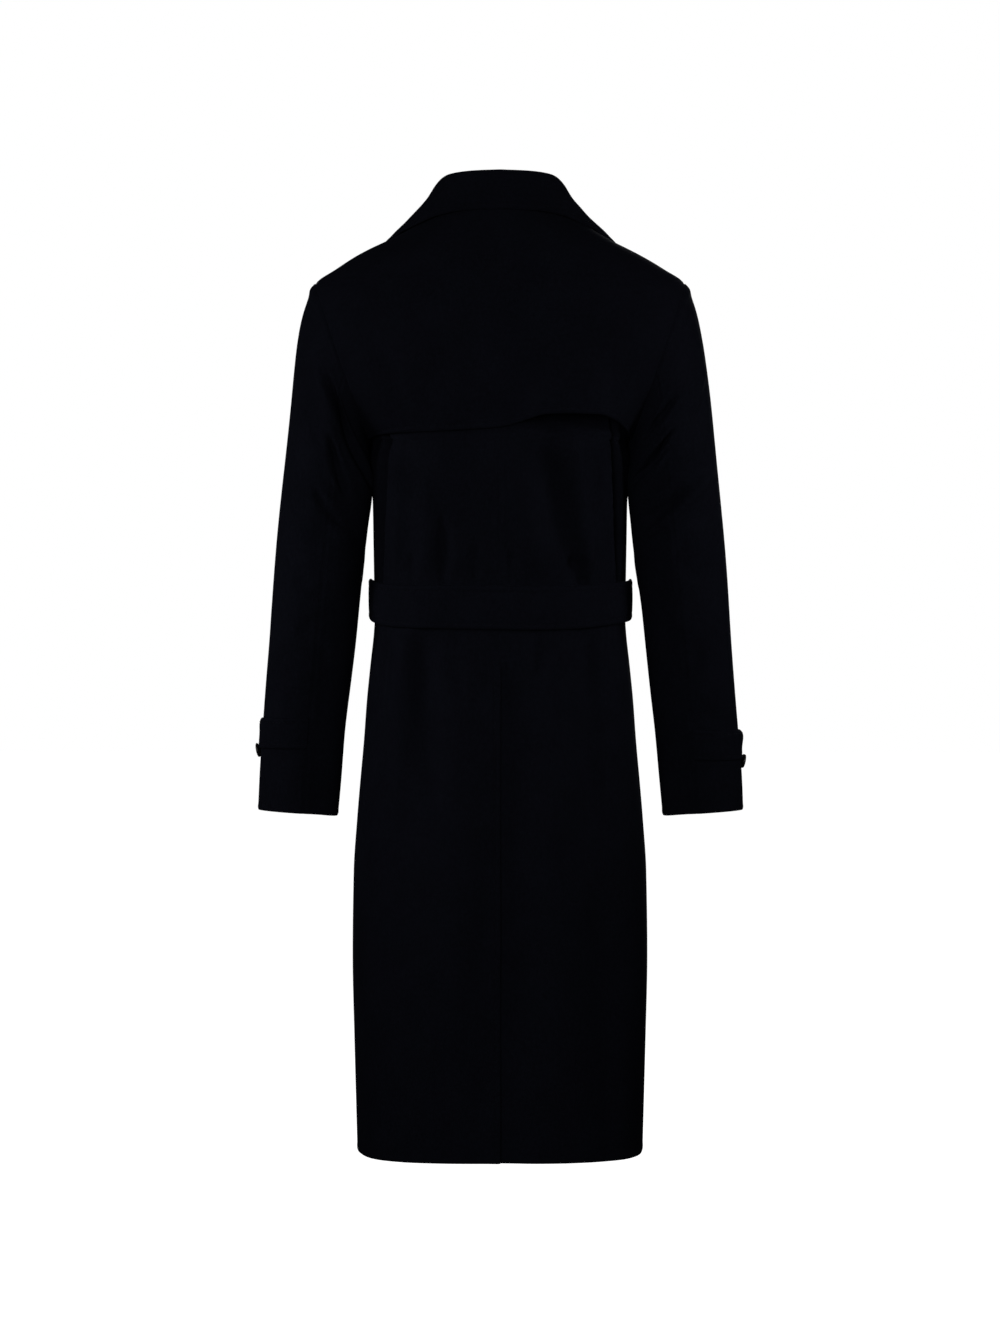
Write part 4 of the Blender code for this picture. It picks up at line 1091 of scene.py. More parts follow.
@dataclass
class ClothSheet:
    """A closed shell of cloth over a grid of points, with its borders finished.

    Attributes:
        name: the piece's name.
        grid: the outer face's points, by row and column.
        outside: the direction that the outer face looks to at the grid's middle.
        wall: the cloth's thickness.
        borders: the finishes along each border.
        inward: directions from the outer to the inner face along a border that a seam mitres.
        stitch: the stitches beside a stitched border.
    """

    name: str
    grid: Floats
    outside: Sequence[float]
    wall: float
    borders: dict[Border, Sequence[EdgeRun]]
    inward: dict[Border, Floats] = field(default_factory=dict)
    stitch: StitchRow = StitchRow()

    def reach(self, border: Border, grid: Floats | None = None) -> Floats:
        """Distances of the grid's points from a border, along the grid's lines.

        Args:
            border: the border.
            grid: the points, if not the sheet's own.
        Returns:
            The distances.
        """
        grid = self.grid if grid is None else grid
        axis = 1 if border in (Border.START, Border.END) else 0
        steps = np.linalg.norm(np.diff(grid, axis=axis), axis=-1)
        pad = ((0, 0), (1, 0)) if axis else ((1, 0), (0, 0))
        total = np.pad(np.cumsum(steps, axis=axis), pad)
        if border in (Border.END, Border.LAST):
            total = np.take(total, (-1,), axis=axis) - total
        return total

    def normals(self, grid: Floats) -> Floats:
        """Directions out of the cloth at the grid's points.

        Args:
            grid: the points.
        Returns:
            The directions.
        """
        normal = grid_normals(grid)
        middle = normal[grid.shape[0] // 2, grid.shape[1] // 2]
        return normal if float(middle @ np.asarray(self.outside)) > 0 else -normal

    def finished(self) -> Floats:
        """The outer face with its borders' seams, rolls and stitch dips.

        Returns:
            The points.
        """
        total = np.zeros(self.grid.shape[:2])
        for border, runs in self.borders.items():
            away = self.reach(border)
            along = self.reach(Border.FIRST if border in (Border.START, Border.END) else Border.START)
            for run in runs:
                total += run.weight(self.grid[..., 2]) * run.rise(away, along, self.stitch)
        return self.grid + self.normals(self.grid) * total[..., None]

    def rim(self, outer: Floats, inner: Floats) -> tuple[Floats, list[Floats]]:
        """The shell's edge.

        Args:
            outer: the outer face's points.
            inner: the inner face's points.
        Returns:
            The numbers of the outer face's rim points, and rounded loops of points between the faces.
        """
        rows, columns = outer.shape[:2]
        round_trip = np.concatenate((
            np.arange(columns),
            np.arange(1, rows) * columns + columns - 1,
            (rows - 1) * columns + np.arange(columns - 2, -1, -1),
            np.arange(rows - 2, 0, -1) * columns,
        ))
        aside = np.zeros_like(outer)
        aside[0] += unit(outer[0] - outer[1])
        aside[-1] += unit(outer[-1] - outer[-2])
        aside[:, 0] += unit(outer[:, 0] - outer[:, 1])
        aside[:, -1] += unit(outer[:, -1] - outer[:, -2])
        bulge = np.full((rows, columns), SEWN_BULGE)
        for border, runs in self.borders.items():
            for run in runs:
                if run.kind in (EdgeKind.TURNED, EdgeKind.STITCHED):
                    place = BORDER_LINES[border]
                    bulge[place] = np.maximum(bulge[place], run.weight(outer[place][..., 2]))
        middle = ((outer + inner) / 2).reshape(-1, 3)[round_trip]
        half = ((outer - inner) / 2).reshape(-1, 3)[round_trip]
        push = unit(aside).reshape(-1, 3)[round_trip] * bulge.reshape(-1)[round_trip][:, None]
        push *= np.linalg.norm(half, axis=1, keepdims=True)
        loops = [middle + half * math.sin(a) + push * math.cos(a) for a in RIM_TURNS]
        return round_trip, loops

    def build(self) -> Piece:
        """Makes the shell and lays its cloth out flat.

        Returns:
            The piece.
        """
        outer = self.finished()
        normal = self.normals(outer)
        inward = -normal
        for border, directions in self.inward.items():
            inward[BORDER_LINES[border]] = directions
        inner = outer + inward * self.wall
        rows, columns = outer.shape[:2]
        count = rows * columns
        trip, loops = self.rim(outer, inner)
        points = np.concatenate((outer.reshape(-1, 3), inner.reshape(-1, 3), *loops))
        corner = (np.arange(rows - 1)[:, None] * columns + np.arange(columns - 1)).reshape(-1)
        front = np.stack((corner, corner + 1, corner + columns + 1, corner + columns), axis=1)
        faces = [front, front[:, ::-1] + count]
        loop = 2 * count + np.arange(len(trip))
        chain = [trip, *(loop + k * len(trip) for k in range(len(loops))), trip + count]
        for near, far in zip(chain[:-1], chain[1:]):
            faces.append(np.stack((np.roll(near, -1), near, far, np.roll(far, -1)), axis=1))
        quads = np.concatenate(faces)
        plain = grid_normals(outer)[rows // 2, columns // 2]
        if float(plain @ np.asarray(self.outside)) < 0:
            quads = quads[:, ::-1]
        piece = mesh_piece(self.name, points, quads.tolist())
        flat = np.stack((self.reach(Border.START), self.reach(Border.FIRST)), axis=-1).reshape(-1, 2)
        set_uv(piece, np.concatenate((flat, flat, *[flat[trip]] * len(loops))))
        return piece

    def stitch_lines(self) -> list[tuple[Floats, Floats]]:
        """Lines beside the stitched borders, with the directions out of the cloth along them.

        Returns:
            Each line's points and directions.
        """
        outer = self.finished()
        normal = self.normals(outer)
        found = []
        for border, runs in self.borders.items():
            upright = border in (Border.START, Border.END)
            ends = (Border.FIRST, Border.LAST) if upright else (Border.START, Border.END)
            away = self.reach(border, outer)
            clear = np.full(away.shape, True)
            for end in ends:
                if any(run.kind is EdgeKind.STITCHED for run in self.borders.get(end, ())):
                    clear &= self.reach(end, outer) > self.stitch.inset
            for run in runs:
                if run.kind is not EdgeKind.STITCHED:
                    continue
                lines = range(outer.shape[0] if upright else outer.shape[1])
                points = []
                ups = []
                for n in lines:
                    pick = np.s_[n, :] if upright else np.s_[:, n]
                    far = away[pick]
                    order = np.argsort(far)
                    if far.max() < 1.4 * self.stitch.inset:
                        continue
                    place = read_line(outer[pick][order], far[order], self.stitch.inset)
                    nearest = int(np.argmin(np.abs(far - self.stitch.inset)))
                    if not clear[pick][nearest] or not run.low <= place[2] <= run.high:
                        continue
                    points.append(place)
                    ups.append(normal[pick][nearest])
                if len(points) > 2:
                    found.append((np.array(points), np.array(ups)))
        return found

    def build_stitches(self) -> Piece | None:
        """Makes the stitches beside the stitched borders.

        Returns:
            The piece, or None where no border is stitched.
        """
        points = []
        faces: Faces = []
        count = 0
        for line, up in self.stitch_lines():
            some, made = self.stitch.along(line, up)
            faces += [tuple(k + count for k in face) for face in made]
            points.append(some)
            count += len(some)
        if not count:
            return None
        return mesh_piece(self.name + "_stitches", np.concatenate(points), faces)


# Finishes


class Shade:
    """A shader value that adds Math nodes when it is used in an expression."""

    def __init__(self, shader: Shader, socket: bpy.types.NodeSocket) -> None:
        """Keeps the shader and the socket that gives the value."""
        self.shader = shader
        self.socket = socket

    def math(self, operation: str, first: Shade | float, second: Shade | float) -> Shade:
        """One Math node.

        Args:
            operation: the node's operation.
            first: its first value.
            second: its second value.
        Returns:
            The result.
        """
        return self.shader.value("ShaderNodeMath", {"operation": operation}, {0: first, 1: second})

    def __add__(self, other: Shade | float) -> Shade:
        """This plus another."""
        return self.math("ADD", self, other)

    def __radd__(self, other: float) -> Shade:
        """A number plus this."""
        return self.math("ADD", other, self)

    def __sub__(self, other: Shade | float) -> Shade:
        """This less another."""
        return self.math("SUBTRACT", self, other)

    def __rsub__(self, other: float) -> Shade:
        """A number less this."""
        return self.math("SUBTRACT", other, self)

    def __mul__(self, other: Shade | float) -> Shade:
        """This times another."""
        return self.math("MULTIPLY", self, other)

    def __rmul__(self, other: float) -> Shade:
        """A number times this."""
        return self.math("MULTIPLY", other, self)

    def clamped(self) -> Shade:
        """This held between 0 and 1."""
        return self.math("MINIMUM", self.math("MAXIMUM", self, 0.0), 1.0)

    def mix(self, low: Sequence[float], high: Sequence[float]) -> Shade:
        """A colour between two, by this value.

        Args:
            low: the colour at 0.
            high: the colour at 1.
        Returns:
            The colour.
        """
        settings = {"data_type": "RGBA"}
        return self.shader.value("ShaderNodeMix", settings, {0: self, 6: (*low, 1.0), 7: (*high, 1.0)}, 2)


class Shader:
    """The nodes of a material or a world, with one method that makes any of them."""

    def __init__(self, owner: bpy.types.Material | bpy.types.World) -> None:
        """Starts with no nodes in a material or a world."""
        self.owner = owner
        owner.use_nodes = True
        self.tree = owner.node_tree
        self.tree.nodes.clear()

    def node(self, kind: str, settings: dict[str, Any], inputs: dict[str | int, Any]) -> bpy.types.Node:
        """Any node.

        Args:
            kind: the node's type.
            settings: its settings, made first.
            inputs: its sockets' values or links.
        Returns:
            The node.
        """
        made = self.tree.nodes.new(kind)
        for name, value in settings.items():
            setattr(made, name, value)
        for name, value in inputs.items():
            if isinstance(value, Shade):
                self.tree.links.new(value.socket, made.inputs[name])
            else:
                made.inputs[name].default_value = value
        return made

    def value(
        self, kind: str, settings: dict[str, Any], inputs: dict[str | int, Any], output: int = 0
    ) -> Shade:
        """One output of a new node, for use in expressions."""
        return Shade(self, self.node(kind, settings, inputs).outputs[output])

    def place(self) -> Shade:
        """Places on the coat, in metres."""
        return self.value("ShaderNodeTexCoord", {}, {}, 3)

    def stretched(self, place: Shade, by: Sequence[float]) -> Shade:
        """Places drawn out along the axes."""
        return self.value("ShaderNodeVectorMath", {"operation": "MULTIPLY"}, {0: place, 1: by})

    def noise(self, place: Shade, scale: float, detail: float, rough: float = 0.55) -> Shade:
        """Soft grain of a size, 0 to 1."""
        inputs = {"Vector": place, "Scale": scale, "Detail": detail, "Roughness": rough}
        return self.value("ShaderNodeTexNoise", {}, inputs)

    def bump(self, height: Shade, strength: float, distance: float) -> Shade:
        """Shading directions from a height."""
        inputs = {"Height": height, "Strength": strength, "Distance": distance}
        return self.value("ShaderNodeBump", {}, inputs)

    def finish(self, inputs: dict[str, Any]) -> bpy.types.Material:
        """Ends the material in a principled surface.

        Args:
            inputs: the surface's values or links.
        Returns:
            The material.
        """
        surface = self.value("ShaderNodeBsdfPrincipled", {}, inputs)
        self.node("ShaderNodeOutputMaterial", {}, {"Surface": surface})
        return self.owner


class Finish:
    """A surface finish, made once and shared by its pieces."""

    name: str
    slot: str

    def make(self) -> bpy.types.Material:
        """Makes the finish's material."""
        raise NotImplementedError

    def material(self) -> bpy.types.Material:
        """The finish's material, made on first use."""
        return bpy.data.materials.get(self.name) or self.make()


@dataclass(frozen=True)
class Wool(Finish):
    """Matt milled wool with a short brushed nap, almost black."""

    name: str = "milled_wool"
    slot: str = "wool"
    deep: Triple = (0.0022, 0.0024, 0.0038)
    pale: Triple = (0.0052, 0.0057, 0.009)
    fibre_scale: float = 900.0
    nap_scale: float = 240.0
    cloud_scale: float = 22.0
    gloss: float = 0.004
    sheen: float = 0.003
    bump_height: float = 0.0006

    def make(self) -> bpy.types.Material:
        """Makes the nap from fine drawn-out fibres over softer tufts and clouds.

        Returns:
            The material.
        """
        shader = Shader(bpy.data.materials.new(self.name))
        place = shader.place()
        fibre = shader.noise(shader.stretched(place, (1.0, 1.0, 0.28)), self.fibre_scale, 3.0, 0.6)
        tuft = shader.noise(place, self.nap_scale, 4.0, 0.62)
        cloud = shader.noise(place, self.cloud_scale, 2.0)
        depth = (0.5 + (fibre - 0.5) * 0.9 + (tuft - 0.5) * 0.9 + (cloud - 0.5) * 0.5).clamped()
        height = fibre * 0.55 + tuft * 0.45
        return shader.finish({
            "Base Color": depth.mix(self.deep, self.pale),
            "Roughness": (0.86 + (tuft - 0.5) * 0.2).clamped(),
            "Normal": shader.bump(height, 0.55, self.bump_height),
            "Specular IOR Level": self.gloss,
            "Sheen Weight": self.sheen,
            "Sheen Roughness": 0.45,
            "Sheen Tint": (0.55, 0.66, 1.0, 1.0),
        })


@dataclass(frozen=True)
class Thread(Finish):
    """Sewing thread in the wool's own colour, a little smoother than it."""

    name: str = "sewing_thread"
    slot: str = "wool"
    deep: Triple = (0.0014, 0.0015, 0.0023)
    pale: Triple = (0.0038, 0.0042, 0.0066)
    twist_scale: float = 1600.0

    def make(self) -> bpy.types.Material:
        """Makes the thread's twist from a fine grain.

        Returns:
            The material.
        """
        shader = Shader(bpy.data.materials.new(self.name))
        twist = shader.noise(shader.place(), self.twist_scale, 2.0)
        return shader.finish({
            "Base Color": twist.mix(self.deep, self.pale),
            "Roughness": 0.55 + twist * 0.2,
            "Normal": shader.bump(twist, 0.4, 0.0002),
            "Specular IOR Level": 0.03,
        })


@dataclass(frozen=True)
class Horn(Finish):
    """Polished dark resin with the clouds of horn."""

    name: str = "polished_horn"
    slot: str = "button"
    deep: Triple = (0.003, 0.003, 0.0042)
    pale: Triple = (0.014, 0.012, 0.011)
    streak_scale: float = 190.0
    rub_scale: float = 900.0

    def make(self) -> bpy.types.Material:
        """Makes streaks and clouds under a polish with faint rubbing.

        Returns:
            The material.
        """
        shader = Shader(bpy.data.materials.new(self.name))
        place = shader.place()
        streak = shader.noise(shader.stretched(place, (1.0, 1.0, 0.35)), self.streak_scale, 5.0, 0.65)
        rub = shader.noise(place, self.rub_scale, 2.0)
        depth = ((streak - 0.42) * 2.6).clamped()
        return shader.finish({
            "Base Color": depth.mix(self.deep, self.pale),
            "Roughness": 0.2 + rub * 0.16,
            "Normal": shader.bump(rub, 0.06, 0.0002),
            "Specular IOR Level": 0.4,
        })


@dataclass(frozen=True)
class Leather(Finish):
    """Dark leather drawn over the buckle."""

    name: str = "buckle_leather"
    slot: str = "buckle"
    deep: Triple = (0.0034, 0.0033, 0.004)
    pale: Triple = (0.0085, 0.008, 0.0088)
    pebble_scale: float = 780.0
    grain_scale: float = 420.0

    def make(self) -> bpy.types.Material:
        """Makes a pebbled grain with paler worn tops.

        Returns:
            The material.
        """
        shader = Shader(bpy.data.materials.new(self.name))
        place = shader.place()
        inputs = {"Vector": place, "Scale": self.pebble_scale}
        pebble = shader.value("ShaderNodeTexVoronoi", {"feature": "DISTANCE_TO_EDGE"}, inputs)
        grain = shader.noise(place, self.grain_scale, 4.0)
        top = (pebble * 3.0 + (grain - 0.5) * 0.6).clamped()
        return shader.finish({
            "Base Color": top.mix(self.deep, self.pale),
            "Roughness": 0.36 + grain * 0.22,
            "Normal": shader.bump(top, 0.35, 0.0003),
            "Specular IOR Level": 0.3,
        })


@dataclass(frozen=True)
class DarkMetal(Finish):
    """Darkened metal of the prong and the eyelets."""

    name: str = "dark_metal"
    slot: str = "buckle"
    deep: Triple = (0.02, 0.02, 0.023)
    pale: Triple = (0.06, 0.06, 0.066)
    brush_scale: float = 1400.0

    def make(self) -> bpy.types.Material:
        """Makes a brushed metal, a little rubbed.

        Returns:
            The material.
        """
        shader = Shader(bpy.data.materials.new(self.name))
        brush = shader.noise(shader.stretched(shader.place(), (0.25, 1.0, 1.0)), self.brush_scale, 3.0)
        return shader.finish({
            "Base Color": brush.mix(self.deep, self.pale),
            "Roughness": 0.3 + brush * 0.18,
            "Metallic": 1.0,
            "Normal": shader.bump(brush, 0.08, 0.0002),
        })


WOOL = Wool()
THREAD = Thread()
HORN = Horn()
LEATHER = Leather()
DARK_METAL = DarkMetal()


def dress(piece: Piece, finish: Finish, *nodes: str) -> Piece:
    """Gives a piece its finish and its place on the coat.

    Args:
        piece: the piece.
        finish: its finish.
        nodes: the solids that it stands for.
    Returns:
        The piece.
    """
    piece.data.materials.append(finish.material())
    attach(piece, BODY_NAME)
    if nodes:
        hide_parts(*nodes)
    log.info("%s: %d faces, %s", piece.name, len(piece.data.polygons), finish.name)
    return piece


@dataclass(frozen=True)
class Cut:
    """A piece's flat cut: its width and length, its area, how it is held and what it lies on."""

    flat: Place
    area: float
    held: Held
    rests_on: tuple[str, ...]


def sew(sheet: ClothSheet, node: str, more: Sequence[Piece] = ()) -> None:
    """Builds and dresses one piece of cloth and its stitches.

    Args:
        sheet: the cloth.
        node: the solid that it stands for.
        more: other sewing on it.
    """
    piece = dress(sheet.build(), WOOL, node)
    stitches = sheet.build_stitches()
    sewing = [*([stitches] if stitches else []), *more]
    for thread in sewing:
        dress(thread, THREAD)


# The pieces


@dataclass(frozen=True)
class Back:
    """The two halves of the back, lapped at the vent below and lying in under the storm flap above."""

    body: BodyForm
    wall: float = 0.0022
    column_step: float = 0.0032
    mean_width: float = 0.235
    vent_top_z: float = -0.556
    vent_slant: float = 0.03
    vent_underlap: float = 0.045
    vent_settle: float = 0.045
    vent_edge: float = 0.006
    vent_fade: Place = (-0.008, 0.01)
    vent_layer: float = 0.004
    vent_lift: float = 0.0016
    flap_layer: float = 0.0036
    flap_fade: float = 0.034
    flap_ease: float = 0.002
    flap_flat: Place = (-0.014, 0.004)

    def inset(self, side: Side, points: Floats) -> Floats:
        """How far a half lies in under the storm flap, and under the other half beside the vent.

        Args:
            side: the wearer's side.
            points: plain points of the body.
        Returns:
            The distances.
        """
        edge = FLAP_EDGE.at("z", points[..., 0])
        total = self.flap_layer * ease(edge - self.flap_fade, edge - self.flap_ease, points[..., 2])
        low, high = (self.vent_top_z + fade for fade in self.vent_fade)
        below = 1 - ease(low, high, points[..., 2])
        if side is Side.RIGHT:
            return total + self.vent_layer * below * ease(-self.vent_settle, -self.vent_edge, points[..., 0])
        wave = 0.55 + 0.45 * np.sin(points[..., 2] * 21 + 0.6)
        return total - self.vent_lift * below * wave * bell(points[..., 0], 0.014)

    def half(self, side: Side) -> ClothSheet:
        """One half of the back.

        Args:
            side: the wearer's side.
        Returns:
            Its cloth.
        """
        z = self.body.panel_rows()
        start = np.zeros(len(z))
        if side is Side.RIGHT:
            under = self.vent_underlap * ease(self.vent_top_z, self.vent_top_z - self.vent_slant, z)
            start = self.body.place_across(under, z)
        share = spaced(self.mean_width, self.column_step, True, True)
        t = start[:, None] + (side.value - start[:, None]) * share
        grid_z = np.repeat(z[:, None], len(share), axis=1)
        plain = self.body.section(t, grid_z)
        edge = FLAP_EDGE.at("z", plain[..., 0])
        rise = self.body.crease_rise(t, grid_z, BACK_CREASES)
        flat = ease(edge + self.flap_flat[0], edge + self.flap_flat[1], grid_z)
        rise = np.where(rise > 0, rise * (1 - flat), rise)
        rise = rise + self.body.ripple_rise(t, grid_z) - self.inset(side, plain)
        grid = self.body.cloth(t, grid_z, rise)
        inward = self.body.finish_side(grid, z)
        vent = EdgeKind.STITCHED if side is Side.LEFT else EdgeKind.COVERED
        borders = {
            Border.FIRST: TURNED_EDGE,
            Border.START: (EdgeRun(EdgeKind.SEAM, low=self.vent_top_z), EdgeRun(vent, high=self.vent_top_z)),
            Border.END: SEAM_EDGE,
        }
        name = f"back_{side.word}_cloth"
        return ClothSheet(name, grid, (0.0, 1.0, 0.0), self.wall, borders, {Border.END: inward})

    def build(self) -> None:
        """Builds both halves."""
        for side in Side:
            sew(self.half(side), f"back_{side.word}")


@dataclass(frozen=True)
class StormFlap:
    """The flap over the upper back, sewn in at neck, shoulders and armholes and free below."""

    body: BodyForm
    wall: float = 0.002
    column_step: float = 0.0046
    mean_width: float = 0.46
    last_level_z: float = -0.236
    tail_step: float = 0.004
    lift_reach: float = 0.055

    def sheet(self) -> ClothSheet:
        """The flap's cloth from neck to free edge.

        Returns:
            The cloth.
        """
        level = self.body.panel_rows()
        level = level[level > self.last_level_z][::-1]
        t = 2 * spaced(self.mean_width, self.column_step, True, True) - 1
        edge_x = self.body.section(t, FLAP_EDGE.column("z").mean())[:, 0]
        edge = FLAP_EDGE.at("z", edge_x)
        tail = spaced(level[-1] - edge.mean(), self.tail_step, False, True)[1:, None]
        z = np.concatenate((np.repeat(level[:, None], len(t), axis=1), level[-1] + (edge - level[-1]) * tail))
        grid_t = np.repeat(t[None, :], len(z), axis=0)
        out = FLAP_EDGE.at("lift", edge_x) * ease(self.lift_reach, 0.0, z - edge)
        out = out + self.body.crease_rise(grid_t, z, FLAP_CREASES)
        out = out + self.body.ripple_rise(grid_t, z)
        grid = self.body.cloth(grid_t, z, out)
        inward = {Border.END: self.body.finish_side(grid, z[:, -1])}
        inward[Border.START] = self.body.finish_side(grid[:, ::-1], z[:, 0])
        borders = {
            Border.LAST: STITCHED_EDGE,
            Border.START: (EdgeRun(EdgeKind.SET_IN, high=self.body.tip[1]),),
            Border.END: (EdgeRun(EdgeKind.SET_IN, high=self.body.tip[1]),),
        }
        return ClothSheet("storm_flap_cloth", grid, (0.0, 1.0, 0.0), self.wall, borders, inward)

    def build(self) -> None:
        """Builds the flap."""
        sew(self.sheet(), "storm_flap")


@dataclass(frozen=True)
class Fronts:
    """The two fronts, crossed left over right, and their lapels turned back on the roll line."""

    body: BodyForm
    wall: float = 0.0022
    column_step: float = 0.0052
    mean_width: float = 0.31
    neck_edge_t: float = 0.86
    overlap: float = 0.09
    overlap_fade: float = 0.05
    overlap_low_z: float = -0.155
    overlap_top_z: float = -0.1
    cross_layer: float = 0.0036
    lapel_layers: float = 1.2
    break_z: float = -0.372
    break_fade: Place = (0.05, 0.01)
    roll_top: Place = (0.083, -0.02)
    lapel_step: float = 0.0042
    lapel_width: float = 0.12
    lapel_bends: tuple[float, ...] = (165, 140, 115, 90, 65, 42, 20)
    lapel_gap: float = 0.0016
    lapel_roll: float = 0.003
    lapel_roll_reach: float = 0.014
    lapel_flat_z: float = -0.185
    lapel_rolled_z: float = -0.135
    button_spread: float = 0.072
    button_rows: tuple[float, ...] = (-0.402, -0.568, -0.712)
    hole_x: Place = (-0.076, -0.045)
    hole_half: float = 0.0013
    hole_stitch: StitchRow = StitchRow(length=0.0022, gap=0.0001, thick=0.0008)

    def roll_x(self, z: Floats) -> Floats:
        """The roll line's distance past the middle at each height."""
        share = (self.roll_top[1] - z) / (self.roll_top[1] - self.break_z)
        return self.roll_top[0] - (self.roll_top[0] + self.overlap) * np.clip(share, -0.1, 1)

    def lift(self, side: Side, points: Floats) -> Floats:
        """How far the left front stands out over the right front and its lapel.

        Args:
            side: the wearer's side.
            points: plain points of the body.
        Returns:
            The distances.
        """
        if side is Side.RIGHT:
            return np.zeros(points.shape[:-1])
        low, high = self.break_z - self.break_fade[0], self.break_z + self.break_fade[1]
        layers = 1 + self.lapel_layers * ease(low, high, points[..., 2])
        crossing = 1 - ease(self.overlap, self.overlap + self.overlap_fade, points[..., 0])
        below = 1 - ease(self.overlap_low_z, self.overlap_top_z, points[..., 2])
        return self.cross_layer * layers * crossing * below

    def rise(self, side: Side, t: Floats, z: Floats) -> Floats:
        """How far a front's cloth stands out from the plain body.

        Args:
            side: the wearer's side.
            t: places across.
            z: heights.
        Returns:
            The distances.
        """
        plain = self.body.section(t, z)
        creases = self.body.crease_rise(t, z, FRONT_CREASES)
        return self.lift(side, plain) + creases + self.body.ripple_rise(t, z)

    def panel(self, side: Side) -> ClothSheet:
        """One front, from its side seam to its roll line and crossing edge.

        Args:
            side: the wearer's side.
        Returns:
            Its cloth.
        """
        z = self.body.panel_rows()
        start = self.body.place_across(self.roll_x(z), z)
        start = np.minimum(start, self.neck_edge_t) * side.value
        share = spaced(self.mean_width, self.column_step, True, True)
        t = start[:, None] + (side.value - start[:, None]) * share
        grid_z = np.repeat(z[:, None], len(share), axis=1)
        grid = self.body.cloth(t, grid_z, self.rise(side, t, grid_z))
        inward = self.body.finish_side(grid, z)
        edge = EdgeKind.STITCHED if side is Side.LEFT else EdgeKind.TURNED
        borders = {
            Border.FIRST: TURNED_EDGE,
            Border.START: (EdgeRun(edge, high=self.break_z),),
            Border.END: SEAM_EDGE,
        }
        name = f"front_{side.word}_cloth"
        return ClothSheet(name, grid, (0.0, -1.0, 0.0), self.wall, borders, {Border.END: inward})

    def lapel(self, side: Side) -> ClothSheet:
        """One lapel, rolled round from the inside of its front.

        Args:
            side: the wearer's side.
        Returns:
            Its cloth.
        """
        low, high = LAPEL_LINES.column("roll_z")[[0, -1]]
        roll_z = low + (high - low) * spaced(high - low, self.lapel_step, True, True)
        share = spaced(self.lapel_width, self.lapel_step, False, True)
        start_x = self.roll_x(roll_z)[:, None]
        x = start_x + (LAPEL_LINES.at("edge_x", roll_z)[:, None] - start_x) * share
        z = roll_z[:, None] + (LAPEL_LINES.at("edge_z", roll_z) - roll_z)[:, None] * share
        t = self.body.place_across(x * side.value, z)
        roll = self.lapel_roll * bell(x - start_x, self.lapel_roll_reach)
        if side is Side.RIGHT:
            roll = roll * ease(self.lapel_flat_z, self.lapel_rolled_z, z)
        proud = self.wall + self.lapel_gap + roll
        leaf = self.body.cloth(t, z, self.rise(side, t, z) + proud)
        up = self.body.outward(t[:, 0], z[:, 0])
        aside = unit(leaf[:, 0] - leaf[:, 1])
        radius = ((proud[:, 0] + self.wall) / 2)[:, None]
        bends = np.radians(self.lapel_bends)
        rolled = [leaf[:, 0] - up * radius + radius * (up * math.cos(a) + aside * math.sin(a)) for a in bends]
        grid = np.concatenate((np.stack(rolled, axis=1), leaf), axis=1)
        borders = {Border.LAST: STITCHED_EDGE, Border.END: STITCHED_EDGE}
        return ClothSheet(f"lapel_{side.word}_cloth", grid, (0.0, -1.0, 0.0), self.wall, borders)

    def buttonholes(self) -> Piece:
        """Worked buttonholes in the left front: short threads side by side along both lips of each slit.

        Returns:
            The threads.
        """
        across = np.arange(*self.hole_x, self.hole_stitch.thick)
        lips = [row + lip * self.hole_half for row in self.button_rows for lip in (-1, 1)]
        x, z = (places.ravel() for places in np.meshgrid(across, np.array(lips)))
        t = self.body.place_across(x, z)
        middle = self.body.cloth(t, z, self.rise(Side.LEFT, t, z))
        up = self.body.outward(t, z)
        along = unit(UP - up * up[:, 2:])
        points, faces = self.hole_stitch.bars(middle, along, up, self.hole_stitch.length)
        return mesh_piece("front_left_buttonholes", points, faces)

    def build(self) -> None:
        """Builds both fronts and lapels, and the buttonholes in the left front."""
        for side in Side:
            holes = [self.buttonholes()] if side is Side.LEFT else []
            sew(self.panel(side), f"front_{side.word}", holes)
            sew(self.lapel(side), f"lapel_{side.word}")


